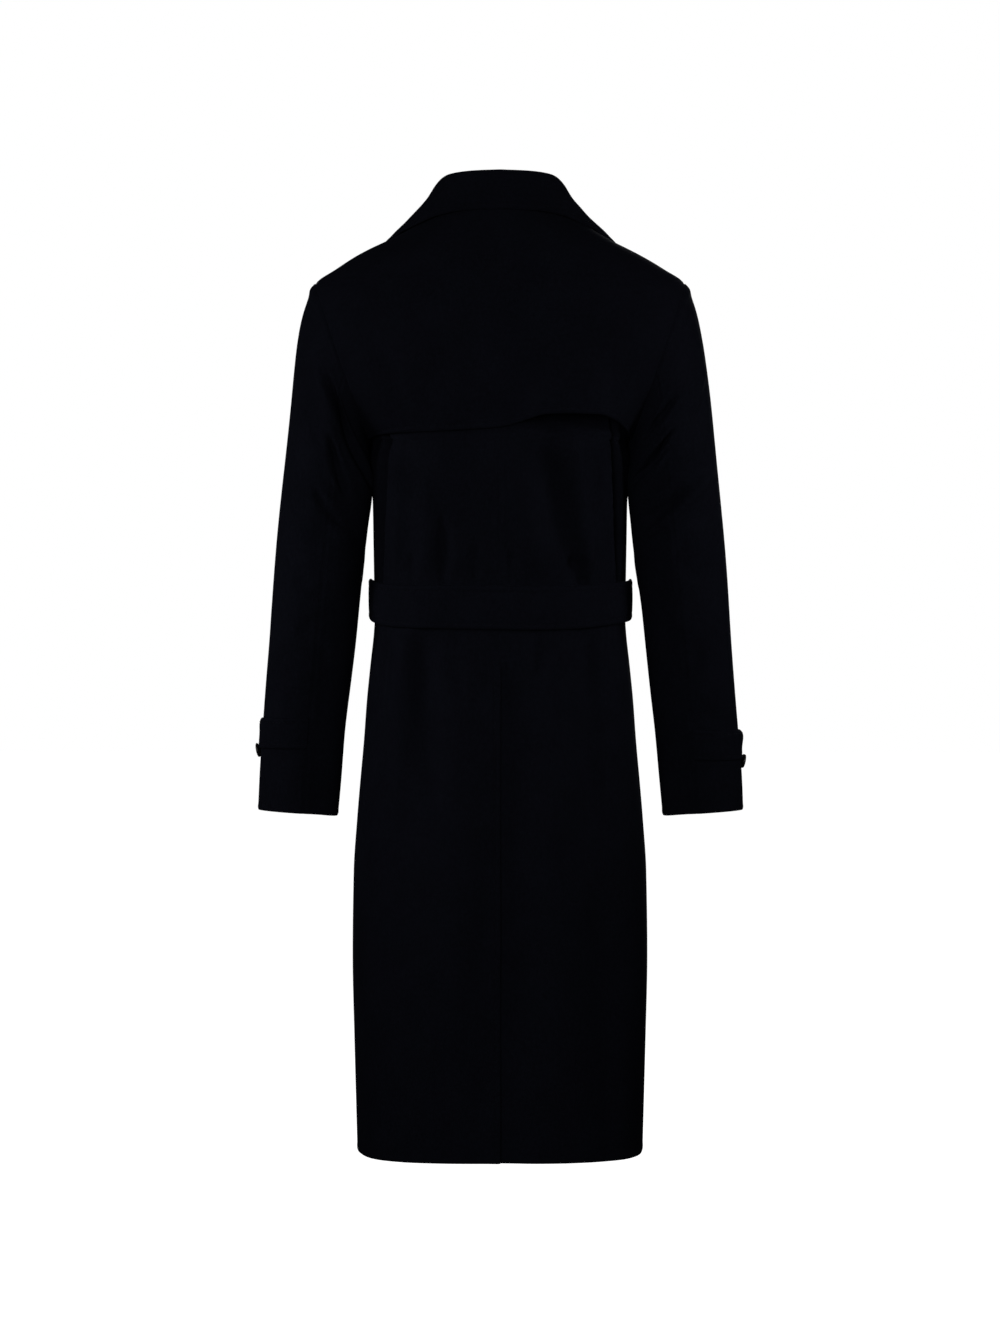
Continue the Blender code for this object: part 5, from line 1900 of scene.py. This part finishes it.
@dataclass(frozen=True)
class Collar:
    """The collar: a stand up from the neck, and a fall rolled over it onto the shoulders."""

    wall: float = 0.002
    length: float = 0.56
    column_step: float = 0.0042
    row_counts: tuple[int, ...] = (3, 3, 3, 4, 5, 5, 14)
    roll: float = 0.0026
    swell: float = 0.003
    swell_skew: float = 1.6
    roll_outline: tuple[Place, ...] = ((2.0, -2.0), (1.85, -0.75), (1.0, 0.0), (0.2, -0.7))
    leaf_shares: tuple[float, ...] = (0.25, 0.5, 0.75, 1.0)
    tuck: float = 0.015
    tuck_round: Place = (94.0, 112.0)
    stand_end: float = 106.0
    fall_end: float = 128.0
    stand_foot_z: float = -0.011
    stand_tuck: float = 0.005
    stand_gap: float = 0.0012
    stand_least: float = 0.004

    @staticmethod
    def lines(angles: Floats) -> tuple[Floats, Floats]:
        """The fold's and the free edge's points at angles round the neck.

        Args:
            angles: the angles.
        Returns:
            The fold's points and the edge's points.
        """
        away = np.abs(angles)
        sign = np.where(angles < 0, -1.0, 1.0)
        found = []
        for part in ("fold", "edge"):
            x, y, z = (COLLAR_LINES.at(f"{part}_{axis}", away) for axis in "xyz")
            found.append(np.stack((x * sign, y, z), axis=-1))
        return found[0], found[1]

    def inward(self, angles: Floats) -> Floats:
        """Level directions from the fold towards the neck's middle.

        Args:
            angles: the angles.
        Returns:
            The directions.
        """
        fold = self.lines(angles)[0]
        along = self.lines(angles + 1.0)[0] - self.lines(angles - 1.0)[0]
        along[:, 2] = 0.0
        away = unit(np.cross(along, UP))
        flip = np.sign((away * fold).sum(axis=1, keepdims=True))
        return -away * np.where(flip == 0, 1.0, flip)

    def fall(self) -> ClothSheet:
        """The outer leaf, from inside the fold to its free edge.

        Returns:
            Its cloth.
        """
        angles = self.fall_end * (2 * spaced(self.length, self.column_step, True, True) - 1)
        fold, edge = self.lines(angles)
        inward = self.inward(angles)
        knots = [fold + (inward * across + UP * high) * self.roll for across, high in self.roll_outline]
        knots[0] = knots[0] - UP * self.tuck * ease(*self.tuck_round, np.abs(angles))[:, None]
        start = knots[-1]
        slope = unit(np.cross(edge - start, np.gradient(fold, axis=0)))
        slope *= np.sign((slope * -inward).sum(axis=1, keepdims=True))
        for share in self.leaf_shares:
            swell = self.swell * math.sin(math.pi * share ** self.swell_skew)
            knots.append(start + (edge - start) * share + slope * swell)
        grid = smooth_rows(np.stack(knots), self.row_counts)
        waves = ripple(angles / 200 + 2.0, np.linspace(0, 0.06, len(grid))[:, None])
        grid = grid + slope * (0.9 * waves * np.linspace(0, 1, len(grid))[:, None])[..., None]
        borders = {border: STITCHED_EDGE for border in (Border.LAST, Border.START, Border.END)}
        return ClothSheet("collar_fall_cloth", grid, (0.0, 1.0, 0.4), self.wall, borders)

    def stand(self) -> ClothSheet:
        """The stand, from the neck seam up into the fold.

        Returns:
            Its cloth.
        """
        angles = np.linspace(-self.stand_end, self.stand_end, 97)
        fold = self.lines(angles)[0]
        inward = self.inward(angles)
        top = fold + inward * 2.0 * self.roll - UP * (2.0 * self.roll + self.stand_gap)
        turn = np.radians(angles)
        half_width, back_y, front_y = BODY_SECTIONS.rows[-1][1:4]
        deep = np.where(np.cos(turn) > 0, back_y, front_y)
        foot_x = (half_width - self.stand_tuck) * np.sin(turn)
        foot_y = (deep - self.stand_tuck) * np.cos(turn)
        foot = np.stack((foot_x, foot_y, np.full(turn.shape, self.stand_foot_z)), axis=-1)
        top[:, 2] = np.maximum(top[:, 2], self.stand_foot_z + self.stand_least)
        shares = np.linspace(0, 1, 13)[:, None, None]
        grid = foot + (top - foot) * shares
        borders = {Border.FIRST: SEAM_EDGE}
        return ClothSheet("collar_stand_cloth", grid, (0.0, -1.0, 0.0), self.wall, borders)

    def build(self) -> None:
        """Builds the stand and the fall."""
        sew(self.stand(), "collar_stand")
        sew(self.fall(), "collar_fall")


@dataclass(frozen=True)
class Sleeves:
    """Both sleeves, each of a top and an under piece."""

    forms: dict[Side, SleeveForm]
    wall: float = 0.0022
    hind_seam: float = 100.0
    fore_seam: float = 260.0
    ring_step: float = 0.092
    column_step: float = 0.0044

    def rings(self, form: SleeveForm) -> Floats:
        """Ring numbers from armhole to cuff, closer together at both ends.

        Args:
            form: the sleeve's form.
        Returns:
            The ring numbers.
        """
        head = np.array((0.0, 0.04, 0.09, 0.15, 0.22, 0.3, 0.39, 0.49, 0.6))
        cuff = form.last - np.array(FINE_STEPS) / form.pitch
        count = round((cuff[-1] - head[-1]) / self.ring_step)
        return np.concatenate((head[:-1], np.linspace(head[-1], cuff[-1], count + 1)[:-1], cuff[::-1]))

    def sheet(self, side: Side, part: SleevePart) -> ClothSheet:
        """The top or the under piece of one sleeve.

        Args:
            side: the wearer's side.
            part: the piece.
        Returns:
            Its cloth.
        """
        form = self.forms[side]
        first, last = self.hind_seam, self.fore_seam
        if part is SleevePart.TOP:
            first, last = self.fore_seam - 360, self.hind_seam
        width = math.radians(last - first) * form.radius
        angle = np.radians(first + (last - first) * spaced(width, self.column_step, True, True))
        grid_angle, grid_ring = np.meshgrid(angle, self.rings(form))
        grid = form.cloth(grid_angle, grid_ring, 0.0)
        mirror = np.array((side.value, 1.0, 1.0))
        grid[0] = form.plain(angle, np.zeros(angle.shape))
        borders = {
            Border.FIRST: (EdgeRun(EdgeKind.SET_IN),),
            Border.LAST: TURNED_EDGE,
            Border.START: SEAM_EDGE,
            Border.END: SEAM_EDGE,
        }
        inward = {Border.FIRST: unit(form.body.arm_middle * mirror - grid[0])}
        middle = form.outward(angle, np.full(angle.shape, form.last / 2))[len(angle) // 2]
        return ClothSheet(f"sleeve_{part.value}_{side.word}_cloth", grid, middle, self.wall, borders, inward)

    def build(self) -> None:
        """Builds the four pieces."""
        for side in Side:
            rests_on = (f"back_{side.word}", f"front_{side.word}")
            top = Cut((0.25, 0.66), 0.125, Held.HUNG, rests_on)
            under = Cut((0.2, 0.52), 0.078, Held.HUNG, rests_on)
            for part, cut in ((SleevePart.TOP, top), (SleevePart.UNDER, under)):
                sew(self.sheet(side, part), f"sleeve_{part.value}_{side.word}")


@dataclass(frozen=True)
class CuffPlace:
    """Heights of one cuff's strap and button, and how far the strap stands off above and below."""

    top_z: float
    button_z: float
    swell: Place


@dataclass(frozen=True)
class CuffStraps:
    """A pointed strap round the outer side of each cuff, with its button."""

    forms: dict[Side, SleeveForm]
    places: dict[Side, CuffPlace]
    wall: float = 0.002
    rest_gap: float = 0.0005
    width: float = 0.036
    length: float = 0.155
    column_step: float = 0.0026
    row_step: float = 0.0034
    stitch: StitchRow = StitchRow(inset=0.005)
    first_angle: float = 98.0
    last_angle: float = -62.0
    point_from: float = 0.88
    point_share: float = 0.84
    swell_shares: Place = (0.1, 0.4)
    upper_swell: Place = (0.22, 0.3)
    lower_swell: Place = (0.3, 0.8)
    edge_fade: Place = (-0.04, 0.14)
    facing_ring: float = 13.0

    def strap(self, side: Side) -> ClothSheet:
        """One strap, from the hind seam to its point.

        Args:
            side: the wearer's side.
        Returns:
            Its cloth.
        """
        form = self.forms[side]
        share = spaced(self.length, self.column_step, False, True)
        across = spaced(self.width, self.row_step, True, True)[:, None]
        angle = np.radians(self.first_angle + (self.last_angle - self.first_angle) * share)
        narrow = self.point_share * ease(self.point_from, 1.0, share)
        down = across + (0.5 - across) * narrow
        grid_angle = np.broadcast_to(angle, down.shape)
        place = self.places[side]
        ring = form.ring_at(grid_angle, place.top_z - self.width * down)
        middle, width = self.upper_swell
        swell = place.swell[0] * bell(down - middle, width) + place.swell[1] * ease(*self.lower_swell, down)
        swell = swell * ease(*self.edge_fade, down) * ease(*self.swell_shares, share)
        grid = form.cloth(grid_angle, ring, self.rest_gap + self.wall + swell)
        middle = form.outward(angle, np.full(angle.shape, self.facing_ring))[len(angle) // 2]
        name = f"cuff_strap_{side.word}_cloth"
        return ClothSheet(name, grid, middle, self.wall, STRIP_BORDERS, stitch=self.stitch)

    def build(self) -> None:
        """Builds both straps."""
        for side in Side:
            sew(self.strap(side), f"cuff_strap_{side.word}")


@dataclass(frozen=True)
class Belt:
    """The belt: one strip from the buckle's bar round the waist and on through the buckle to its point."""

    width: float = 0.05
    row_step: float = 0.0036
    stitch: StitchRow = StitchRow(inset=0.0056)
    wall: float = 0.0038
    half_width: float = 0.157
    back_y: float = 0.0968
    front_y: float = 0.1206
    square: float = 0.62
    back_z: float = -0.4815
    side_z: float = -0.47
    front_z: float = -0.476
    rest_gap: float = 0.0005
    start_t: float = 0.02
    rise_from_t: float = -0.42
    rise_to_t: float = -0.16
    end_t: float = 0.72
    point: float = 0.006
    point_share: float = 0.84
    side_narrow: float = 0.085
    crown: float = 0.0007
    waver: float = 0.0008
    eyelet_places: tuple[float, ...] = (-0.155, 0.16, 0.26, 0.36)
    eyelet_radius: float = 0.0036
    eyelet_tube: float = 0.0011
    eyelet_proud: float = 0.0006

    def points(self, face: Values, t: Values, across: Values, out: Values) -> Floats:
        """Points of the belt.

        Args:
            face: 1 at the back and -1 at the front.
            t: the place round, 0 at the middle and 1 and -1 at the sides.
            across: the place across the belt, 0 at its upper edge.
            out: the distance out from the waist.
        Returns:
            The points.
        """
        s = np.abs(t)
        deep = np.where(face > 0, self.back_y, self.front_y) + out
        middle = np.where(face > 0, self.back_z, self.front_z)
        half = self.half_width + out
        b = 3 * (1 - s) ** 2 * s
        c = 3 * (1 - s) * s * s
        x = (b * self.square + c + s ** 3) * half
        y = ((1 - s) ** 3 + b + c * self.square) * deep
        down = across * (1 - self.side_narrow * s * s)
        z = middle + (self.side_z - middle) * s * s + (0.5 - down) * self.width
        x, y, z = np.broadcast_arrays(np.sign(t) * x, face * y, z)
        return np.stack((x, y, z), axis=-1)

    def path(self) -> tuple[Floats, Floats, Floats]:
        """The belt's course: the face, the place round and the distance out at each step.

        Returns:
            The three in that order.
        """
        over = self.wall + self.rest_gap
        runs = (
            (-1, np.linspace(self.start_t, 1, 58)),
            (1, np.linspace(1, -1, 112)[1:]),
            (-1, np.linspace(-1, self.rise_from_t, 34)[1:]),
            (-1, np.linspace(self.rise_from_t, self.rise_to_t, 18)[1:]),
            (-1, np.linspace(self.rise_to_t, self.end_t, 62)[1:]),
        )
        face = np.concatenate([np.full(len(t), float(which)) for which, t in runs])
        t = np.concatenate([t for _, t in runs])
        out = np.zeros(len(t))
        tail = sum(len(t) for _, t in runs[:3])
        out[tail:] = over * ease(self.rise_from_t, self.rise_to_t, t[tail:])
        return face, t, out

    def strip(self) -> ClothSheet:
        """The belt's cloth, a little crowned and with its edges stitched.

        Returns:
            The cloth.
        """
        face, t, out = self.path()
        count = len(t)
        across = spaced(self.width, self.row_step, True, True)[:, None]
        share = np.linspace(0, 1, count)
        narrow = self.point_share * ease(count - 5, count - 1, np.arange(count))
        place = across + (0.5 - across) * narrow
        crown = self.crown * (1 - (2 * across - 1) ** 2)
        crown = crown + 0.8 * ripple(share * 1.2 + 3.0, across * self.width)
        grid = self.points(face, t, place, out + self.wall + crown)
        grid[..., 2] += self.waver * np.sin(share * 37 + 0.5) * (np.abs(t) < 0.97)
        ahead = unit(grid[:, -1] - grid[:, -2])
        grid[:, -1] += ahead * self.point * (1 - np.abs(2 * across - 1))
        outside = (0.0, 1.0, 0.0) if face[count // 2] > 0 else (0.0, -1.0, 0.0)
        return ClothSheet("belt_cloth", grid, outside, self.wall, STRIP_BORDERS, stitch=self.stitch)

    def eyelets(self) -> Piece:
        """Metal eyelets along the belt's end.

        Returns:
            The eyelets.
        """
        rings, sides = 24, 8
        over = self.wall * 2 + self.rest_gap + self.eyelet_proud
        points = []
        faces = []
        for t in self.eyelet_places:
            faces += tube_faces(rings, sides, len(points), closed=True)
            middle = self.points(-1.0, t, 0.5, over)
            along = unit(self.points(-1.0, t + 0.01, 0.5, over) - middle)
            facing = np.cross(along, UP)
            for turn in turns(rings):
                spoke = along * math.cos(turn) + UP * math.sin(turn)
                for lean in turns(sides):
                    reach = self.eyelet_radius + self.eyelet_tube * math.cos(lean)
                    rise = 0.7 * self.eyelet_tube * math.sin(lean)
                    points.append(middle + spoke * reach + facing * rise)
        return mesh_piece("belt_eyelets", np.array(points), faces)

    def build(self) -> None:
        """Builds the belt and its eyelets."""
        sew(self.strip(), "belt")
        dress(self.eyelets(), DARK_METAL)


@dataclass(frozen=True)
class Buckle:
    """A leather-covered frame in front of the belt, and its prong."""

    belt: Belt
    width: float = 0.062
    height: float = 0.068
    bar: float = 0.008
    wall: float = 0.004
    corner: float = 0.012
    prong_width: float = 0.005
    prong_wall: float = 0.003
    prong_start_x: float = 0.006
    prong_past: float = 0.001
    prong_rise: Place = (0.45, 0.72)
    prong_taper: float = 0.25
    prong_tip: float = 0.07
    softness: float = 0.6
    gap: float = 0.0003

    @property
    def face_y(self) -> float:
        """Where the buckle's back lies."""
        return -(self.belt.front_y + 2 * self.belt.wall + 2 * self.belt.rest_gap)

    def frame(self) -> Piece:
        """The frame, a crowned bar bent round with soft corners.

        Returns:
            The frame.
        """
        course = []
        for quarter, (across, up) in enumerate(((1, 1), (-1, 1), (-1, -1), (1, -1))):
            x = across * (self.width / 2 - self.corner)
            z = up * (self.height / 2 - self.corner)
            bends = math.pi / 2 * (quarter + np.linspace(0, 1, 13))
            course += [(x, z, math.cos(turn), math.sin(turn)) for turn in bends]
        sides = 16
        section = []
        for turn in turns(sides):
            across, up = math.cos(turn), math.sin(turn)
            reach = math.copysign(abs(across) ** self.softness, across) * self.bar / 2
            out = math.copysign(abs(up) ** self.softness, up) * self.wall / 2
            section.append((self.corner - self.bar / 2 + reach, self.wall / 2 + out))
        points = []
        for x, z, across, up in course:
            for reach, out in section:
                points.append((x + across * reach, self.face_y - out, self.belt.front_z + z + up * reach))
        faces = tube_faces(len(course), sides, closed=True)
        return mesh_piece("buckle_frame_leather", np.array(points), faces)

    def prong(self) -> Piece:
        """The prong, from the belt over the frame's bar to a rounded end.

        Returns:
            The prong.
        """
        end_x = -(self.width / 2 + self.prong_past)
        points = []
        steps, sides = 24, 12
        for share in np.linspace(0, 1, steps + 1):
            over = (self.wall + self.gap) * float(ease(*self.prong_rise, share))
            x = self.prong_start_x + (end_x - self.prong_start_x) * share
            slim = 1 - self.prong_taper * share
            near_tip = max(0.0, 1 - (1 - share) / self.prong_tip)
            tip = math.sqrt(1 - 0.96 * near_tip ** 2)
            for turn in turns(sides):
                up = math.cos(turn) * self.prong_width / 2 * slim * tip
                out = self.prong_wall / 2 * (1 + math.sin(turn) * tip)
                points.append((x, self.face_y - over - out, self.belt.front_z + up))
        faces = tube_faces(steps + 1, sides, flip=True)
        return mesh_piece("buckle_prong_metal", np.array(points), faces)

    def build(self) -> None:
        """Builds the frame and the prong."""
        dress(self.frame(), LEATHER, "buckle_frame")
        dress(self.prong(), DARK_METAL, "buckle_prong")


@dataclass(frozen=True)
class Button:
    """A round button with a rim, four holes and its sewing."""

    radius: float
    wall: float
    steps: int = 56
    hole_reach: float = 0.19
    hole_size: float = 0.085
    shank_share: float = 0.26
    shank_wave: float = 0.12
    shank_ends: Place = (0.0002, 0.0006)
    thread: StitchRow = StitchRow(thick=0.00075)
    thread_step: float = 0.0006
    thread_rise: float = 0.0003
    face_share: float = 0.76
    crisp: float = 40.0

    def profile(self) -> list[Place]:
        """Radius and height of the button's outline from its back to its face."""
        shares = (
            (0.3, 0.0), (0.7, 0.0), (0.86, 0.1), (0.95, 0.26), (0.99, 0.46), (1.0, 0.62), (0.985, 0.82),
            (0.95, 0.95), (0.9, 1.0), (0.85, 0.97), (0.8, 0.88), (0.74, 0.8), (0.66, 0.76), (0.45, 0.74),
            (0.3, 0.74),
        )
        return [(r * self.radius, h * self.wall) for r, h in shares]

    def holes(self) -> list[Place]:
        """The middles of the four holes."""
        reach = self.hole_reach * self.radius
        return [(reach * a, reach * b) for a, b in ((1, 1), (-1, 1), (-1, -1), (1, -1))]

    def blank(self, name: str) -> Piece:
        """The turned disc, before its holes are bored.

        Args:
            name: the piece's name.
        Returns:
            The disc.
        """
        profile = self.profile()
        points = []
        for size, height in profile:
            points += ring_points(size, height, self.steps)
        faces = tube_faces(len(profile), self.steps)
        return mesh_piece(name, np.array(points), faces, self.crisp)

    def bored(self, name: str) -> Piece:
        """The disc with its four holes.

        Args:
            name: the piece's name.
        Returns:
            The disc.
        """
        piece = self.blank(name)
        drill = bmesh.new()
        for x, y in self.holes():
            move = Matrix.Translation((x, y, self.wall / 2))
            size = self.hole_size * self.radius
            bmesh.ops.create_cone(drill, cap_ends=True, segments=14, radius1=size, radius2=size,
                                  depth=3 * self.wall, matrix=move)
        cutter = bpy.data.objects.new(name + "_drill", bpy.data.meshes.new(name + "_drill"))
        drill.to_mesh(cutter.data)
        drill.free()
        bpy.context.scene.collection.objects.link(cutter)
        cut = piece.modifiers.new("holes", "BOOLEAN")
        cut.object = cutter
        bpy.context.view_layer.update()
        done = bpy.data.meshes.new_from_object(piece.evaluated_get(bpy.context.evaluated_depsgraph_get()))
        piece.modifiers.clear()
        piece.data = done
        done.shade_smooth()
        done.set_sharp_from_angle(angle=math.radians(self.crisp))
        bpy.data.objects.remove(cutter, do_unlink=True)
        return piece

    def sewing(self, name: str, stand: float) -> Piece:
        """Two bars of thread across the holes, and a wound shank down to the cloth.

        Args:
            name: the piece's name.
            stand: how far the button's back is from the cloth.
        Returns:
            The sewing.
        """
        height = self.face_share * self.wall + self.thread_rise
        holes = self.holes()
        middle = []
        along = []
        for start, end in ((holes[0], holes[1]), (holes[3], holes[2])):
            for shift in (-1, 0, 1):
                middle.append(((start[0] + end[0]) / 2, start[1] + shift * self.thread_step, height))
                along.append((1.0, 0.0, 0.0))
        length = 2 * self.hole_reach * self.radius + self.hole_size * self.radius
        ups = np.tile(UP, (len(middle), 1))
        points, faces = self.thread.bars(np.array(middle), np.array(along), ups, length)
        levels, sides = 6, 12
        faces += tube_faces(levels, sides, len(points), flip=True)
        points = list(points)
        shank = self.shank_share * self.radius
        for level in range(levels):
            size = shank * (1 + self.shank_wave * (level % 2))
            height = self.shank_ends[0] - (stand + sum(self.shank_ends)) * level / (levels - 1)
            points += ring_points(size, height, sides)
        return mesh_piece(name, np.array(points), faces)

    def build(self, node: str, centre: Floats, facing: Floats, stand: float) -> None:
        """Builds one button and its sewing in place.

        Args:
            node: the solid that it stands for.
            centre: the middle of its back.
            facing: the direction that its face looks to.
            stand: how far its back is from the cloth.
        """
        aside = unit(np.cross(UP, facing))
        up = np.cross(facing, aside)
        place = Matrix(np.column_stack((aside, up, facing)).tolist()).to_4x4()
        place.translation = Vector(centre)
        for piece, finish, nodes in (
            (self.bored(node + "_horn"), HORN, (node,)),
            (self.sewing(node + "_sewing", stand), THREAD, ()),
        ):
            piece.data.transform(place)
            dress(piece, finish, *nodes)


@dataclass(frozen=True)
class Fastenings:
    """Every button, on the fronts and on the cuff straps."""

    fronts: Fronts
    straps: CuffStraps
    front_button: Button = Button(0.014, 0.005)
    cuff_button: Button = Button(0.0088, 0.0036, shank_share=0.45)
    stand: float = 0.0012
    cuff_angle: float = -8.0
    cuff_tilt: float = 16.0
    cuff_gap: float = 0.0003

    def build(self) -> None:
        """Builds the front buttons row by row, then one on each cuff strap."""
        body = self.fronts.body
        number = 0
        for z in self.fronts.button_rows:
            for side in (-1, 1):
                number += 1
                t = body.place_across(side * self.fronts.button_spread, z)
                facing = body.outward(t, z)
                reach = self.fronts.rise(Side.LEFT, t, np.array(z)) + self.stand
                centre = body.section(t, z) + facing * reach
                self.front_button.build(f"front_button_{number}", centre, facing, self.stand)
        for side, form in self.straps.forms.items():
            angle = np.array(math.radians(self.cuff_angle))
            ring = form.ring_at(angle, np.array(self.straps.places[side].button_z))
            out = form.outward(angle, ring)
            tilt = math.radians(self.cuff_tilt)
            facing = unit(out * math.cos(tilt) - UP * math.sin(tilt))
            stand = self.cuff_gap + self.cuff_button.radius * math.sin(tilt)
            centre = form.cloth(angle, ring, 0.0) + out * stand
            self.cuff_button.build(f"cuff_button_{side.word}", centre, facing, stand)


@dataclass(frozen=True)
class Lamp:
    """A soft lamp: its place, what it looks at, its width, its watts and how far its light fans out."""

    name: str
    place: Triple
    aim: Triple
    size: float
    power: float
    spread: float = 180.0


@dataclass(frozen=True)
class Studio:
    """A pale floor, soft light from all round and a camera behind the coat."""

    floor_z: float = -1.48
    floor_size: float = 60.0
    camera_place: Triple = (0.0, 3.8, -0.5514)
    lens: float = 84.06
    sky: float = 0.07
    lamps: tuple[Lamp, ...] = (
        Lamp("key_lamp", (0.9, 4.8, 0.12), (0.0, 0.1, -0.65), 1.6, 76.0),
        Lamp("left_lamp", (2.0, 0.42, 0.0), (0.27, 0.0, -0.42), 0.7, 0.9, 36.0),
        Lamp("right_lamp", (-2.0, 0.42, 0.1), (-0.28, 0.0, -0.33), 0.6, 0.82, 33.0),
        Lamp("front_lamp", (-0.9, -3.6, 0.7), (0.0, 0.0, -0.55), 1.6, 45.0),
    )

    def floor(self) -> None:
        """A wide sheet of white paper."""
        half = self.floor_size / 2
        ways = ((-1, -1), (1, -1), (1, 1), (-1, 1))
        corners = np.array([(a * half, b * half, self.floor_z) for a, b in ways])
        floor = mesh_piece("paper_floor", corners, [(0, 1, 2, 3)])
        shader = Shader(bpy.data.materials.new("white_paper"))
        grain = shader.noise(shader.place(), 60.0, 3.0)
        floor.data.materials.append(shader.finish({
            "Base Color": grain.mix((0.36, 0.36, 0.36), (0.4, 0.4, 0.4)),
            "Roughness": 0.9,
            "Specular IOR Level": 0.0,
            "Emission Color": (1.0, 1.0, 1.0, 1.0),
            "Emission Strength": 1.0,
        }))
        floor.visible_diffuse = False
        floor.visible_glossy = False
        floor.visible_shadow = False

    def backdrop(self) -> bpy.types.World:
        """White all round to the eye, and a dim even light on the coat.

        Returns:
            The world.
        """
        shader = Shader(bpy.data.worlds.new("white_tent"))
        seen = shader.value("ShaderNodeLightPath", {}, {})
        inputs = {"Color": (1.0, 1.0, 1.0, 1.0), "Strength": seen * (1 - self.sky) + self.sky}
        background = shader.value("ShaderNodeBackground", {}, inputs)
        shader.node("ShaderNodeOutputWorld", {}, {"Surface": background})
        return shader.owner

    def light(self, lamp: Lamp) -> None:
        """A large soft lamp that looks at a place on the coat.

        Args:
            lamp: the lamp.
        """
        made = bpy.data.lights.new(lamp.name, "AREA")
        made.shape = "SQUARE"
        made.size = lamp.size
        made.energy = lamp.power
        made.spread = math.radians(lamp.spread)
        stand = bpy.data.objects.new(lamp.name, made)
        stand.location = lamp.place
        aim = Vector(lamp.aim) - Vector(lamp.place)
        stand.rotation_euler = aim.to_track_quat("-Z", "Y").to_euler()
        stand.visible_camera = False
        bpy.context.scene.collection.objects.link(stand)

    def build(self) -> None:
        """Builds the floor, the sky, the lamps and the camera."""
        scene = bpy.context.scene
        self.floor()
        scene.world = self.backdrop()
        for lamp in self.lamps:
            self.light(lamp)
        camera = bpy.data.cameras.new("camera")
        camera.lens = self.lens
        camera.sensor_width = 36.0
        camera.clip_end = 200.0
        view = bpy.data.objects.new("camera", camera)
        view.location = self.camera_place
        view.rotation_euler = (math.pi / 2, 0.0, math.pi)
        scene.collection.objects.link(view)
        scene.camera = view
        scene.view_settings.view_transform = "Standard"
        scene.view_settings.look = "None"


def main() -> None:
    """Builds the coat piece by piece, then the studio."""
    logging.basicConfig(level=logging.INFO, format="%(name)s: %(message)s")
    back = BodyForm(Face.BACK)
    forms = {side: SleeveForm(back, side) for side in Side}
    fronts = Fronts(BodyForm(Face.FRONT))
    straps = CuffStraps(forms, {
        Side.LEFT: CuffPlace(-0.614, -0.6535, (0.0016, 0.0009)),
        Side.RIGHT: CuffPlace(-0.6285, -0.6672, (0.003, 0.0)),
    })
    belt = Belt()
    for part in (
        Back(back),
        StormFlap(back),
        fronts,
        Collar(),
        Sleeves(forms),
        straps,
        belt,
        Buckle(belt),
        Fastenings(fronts, straps),
        Studio(),
    ):
        log.info("building %s", type(part).__name__)
        part.build()


if __name__ == "__main__":
    main()
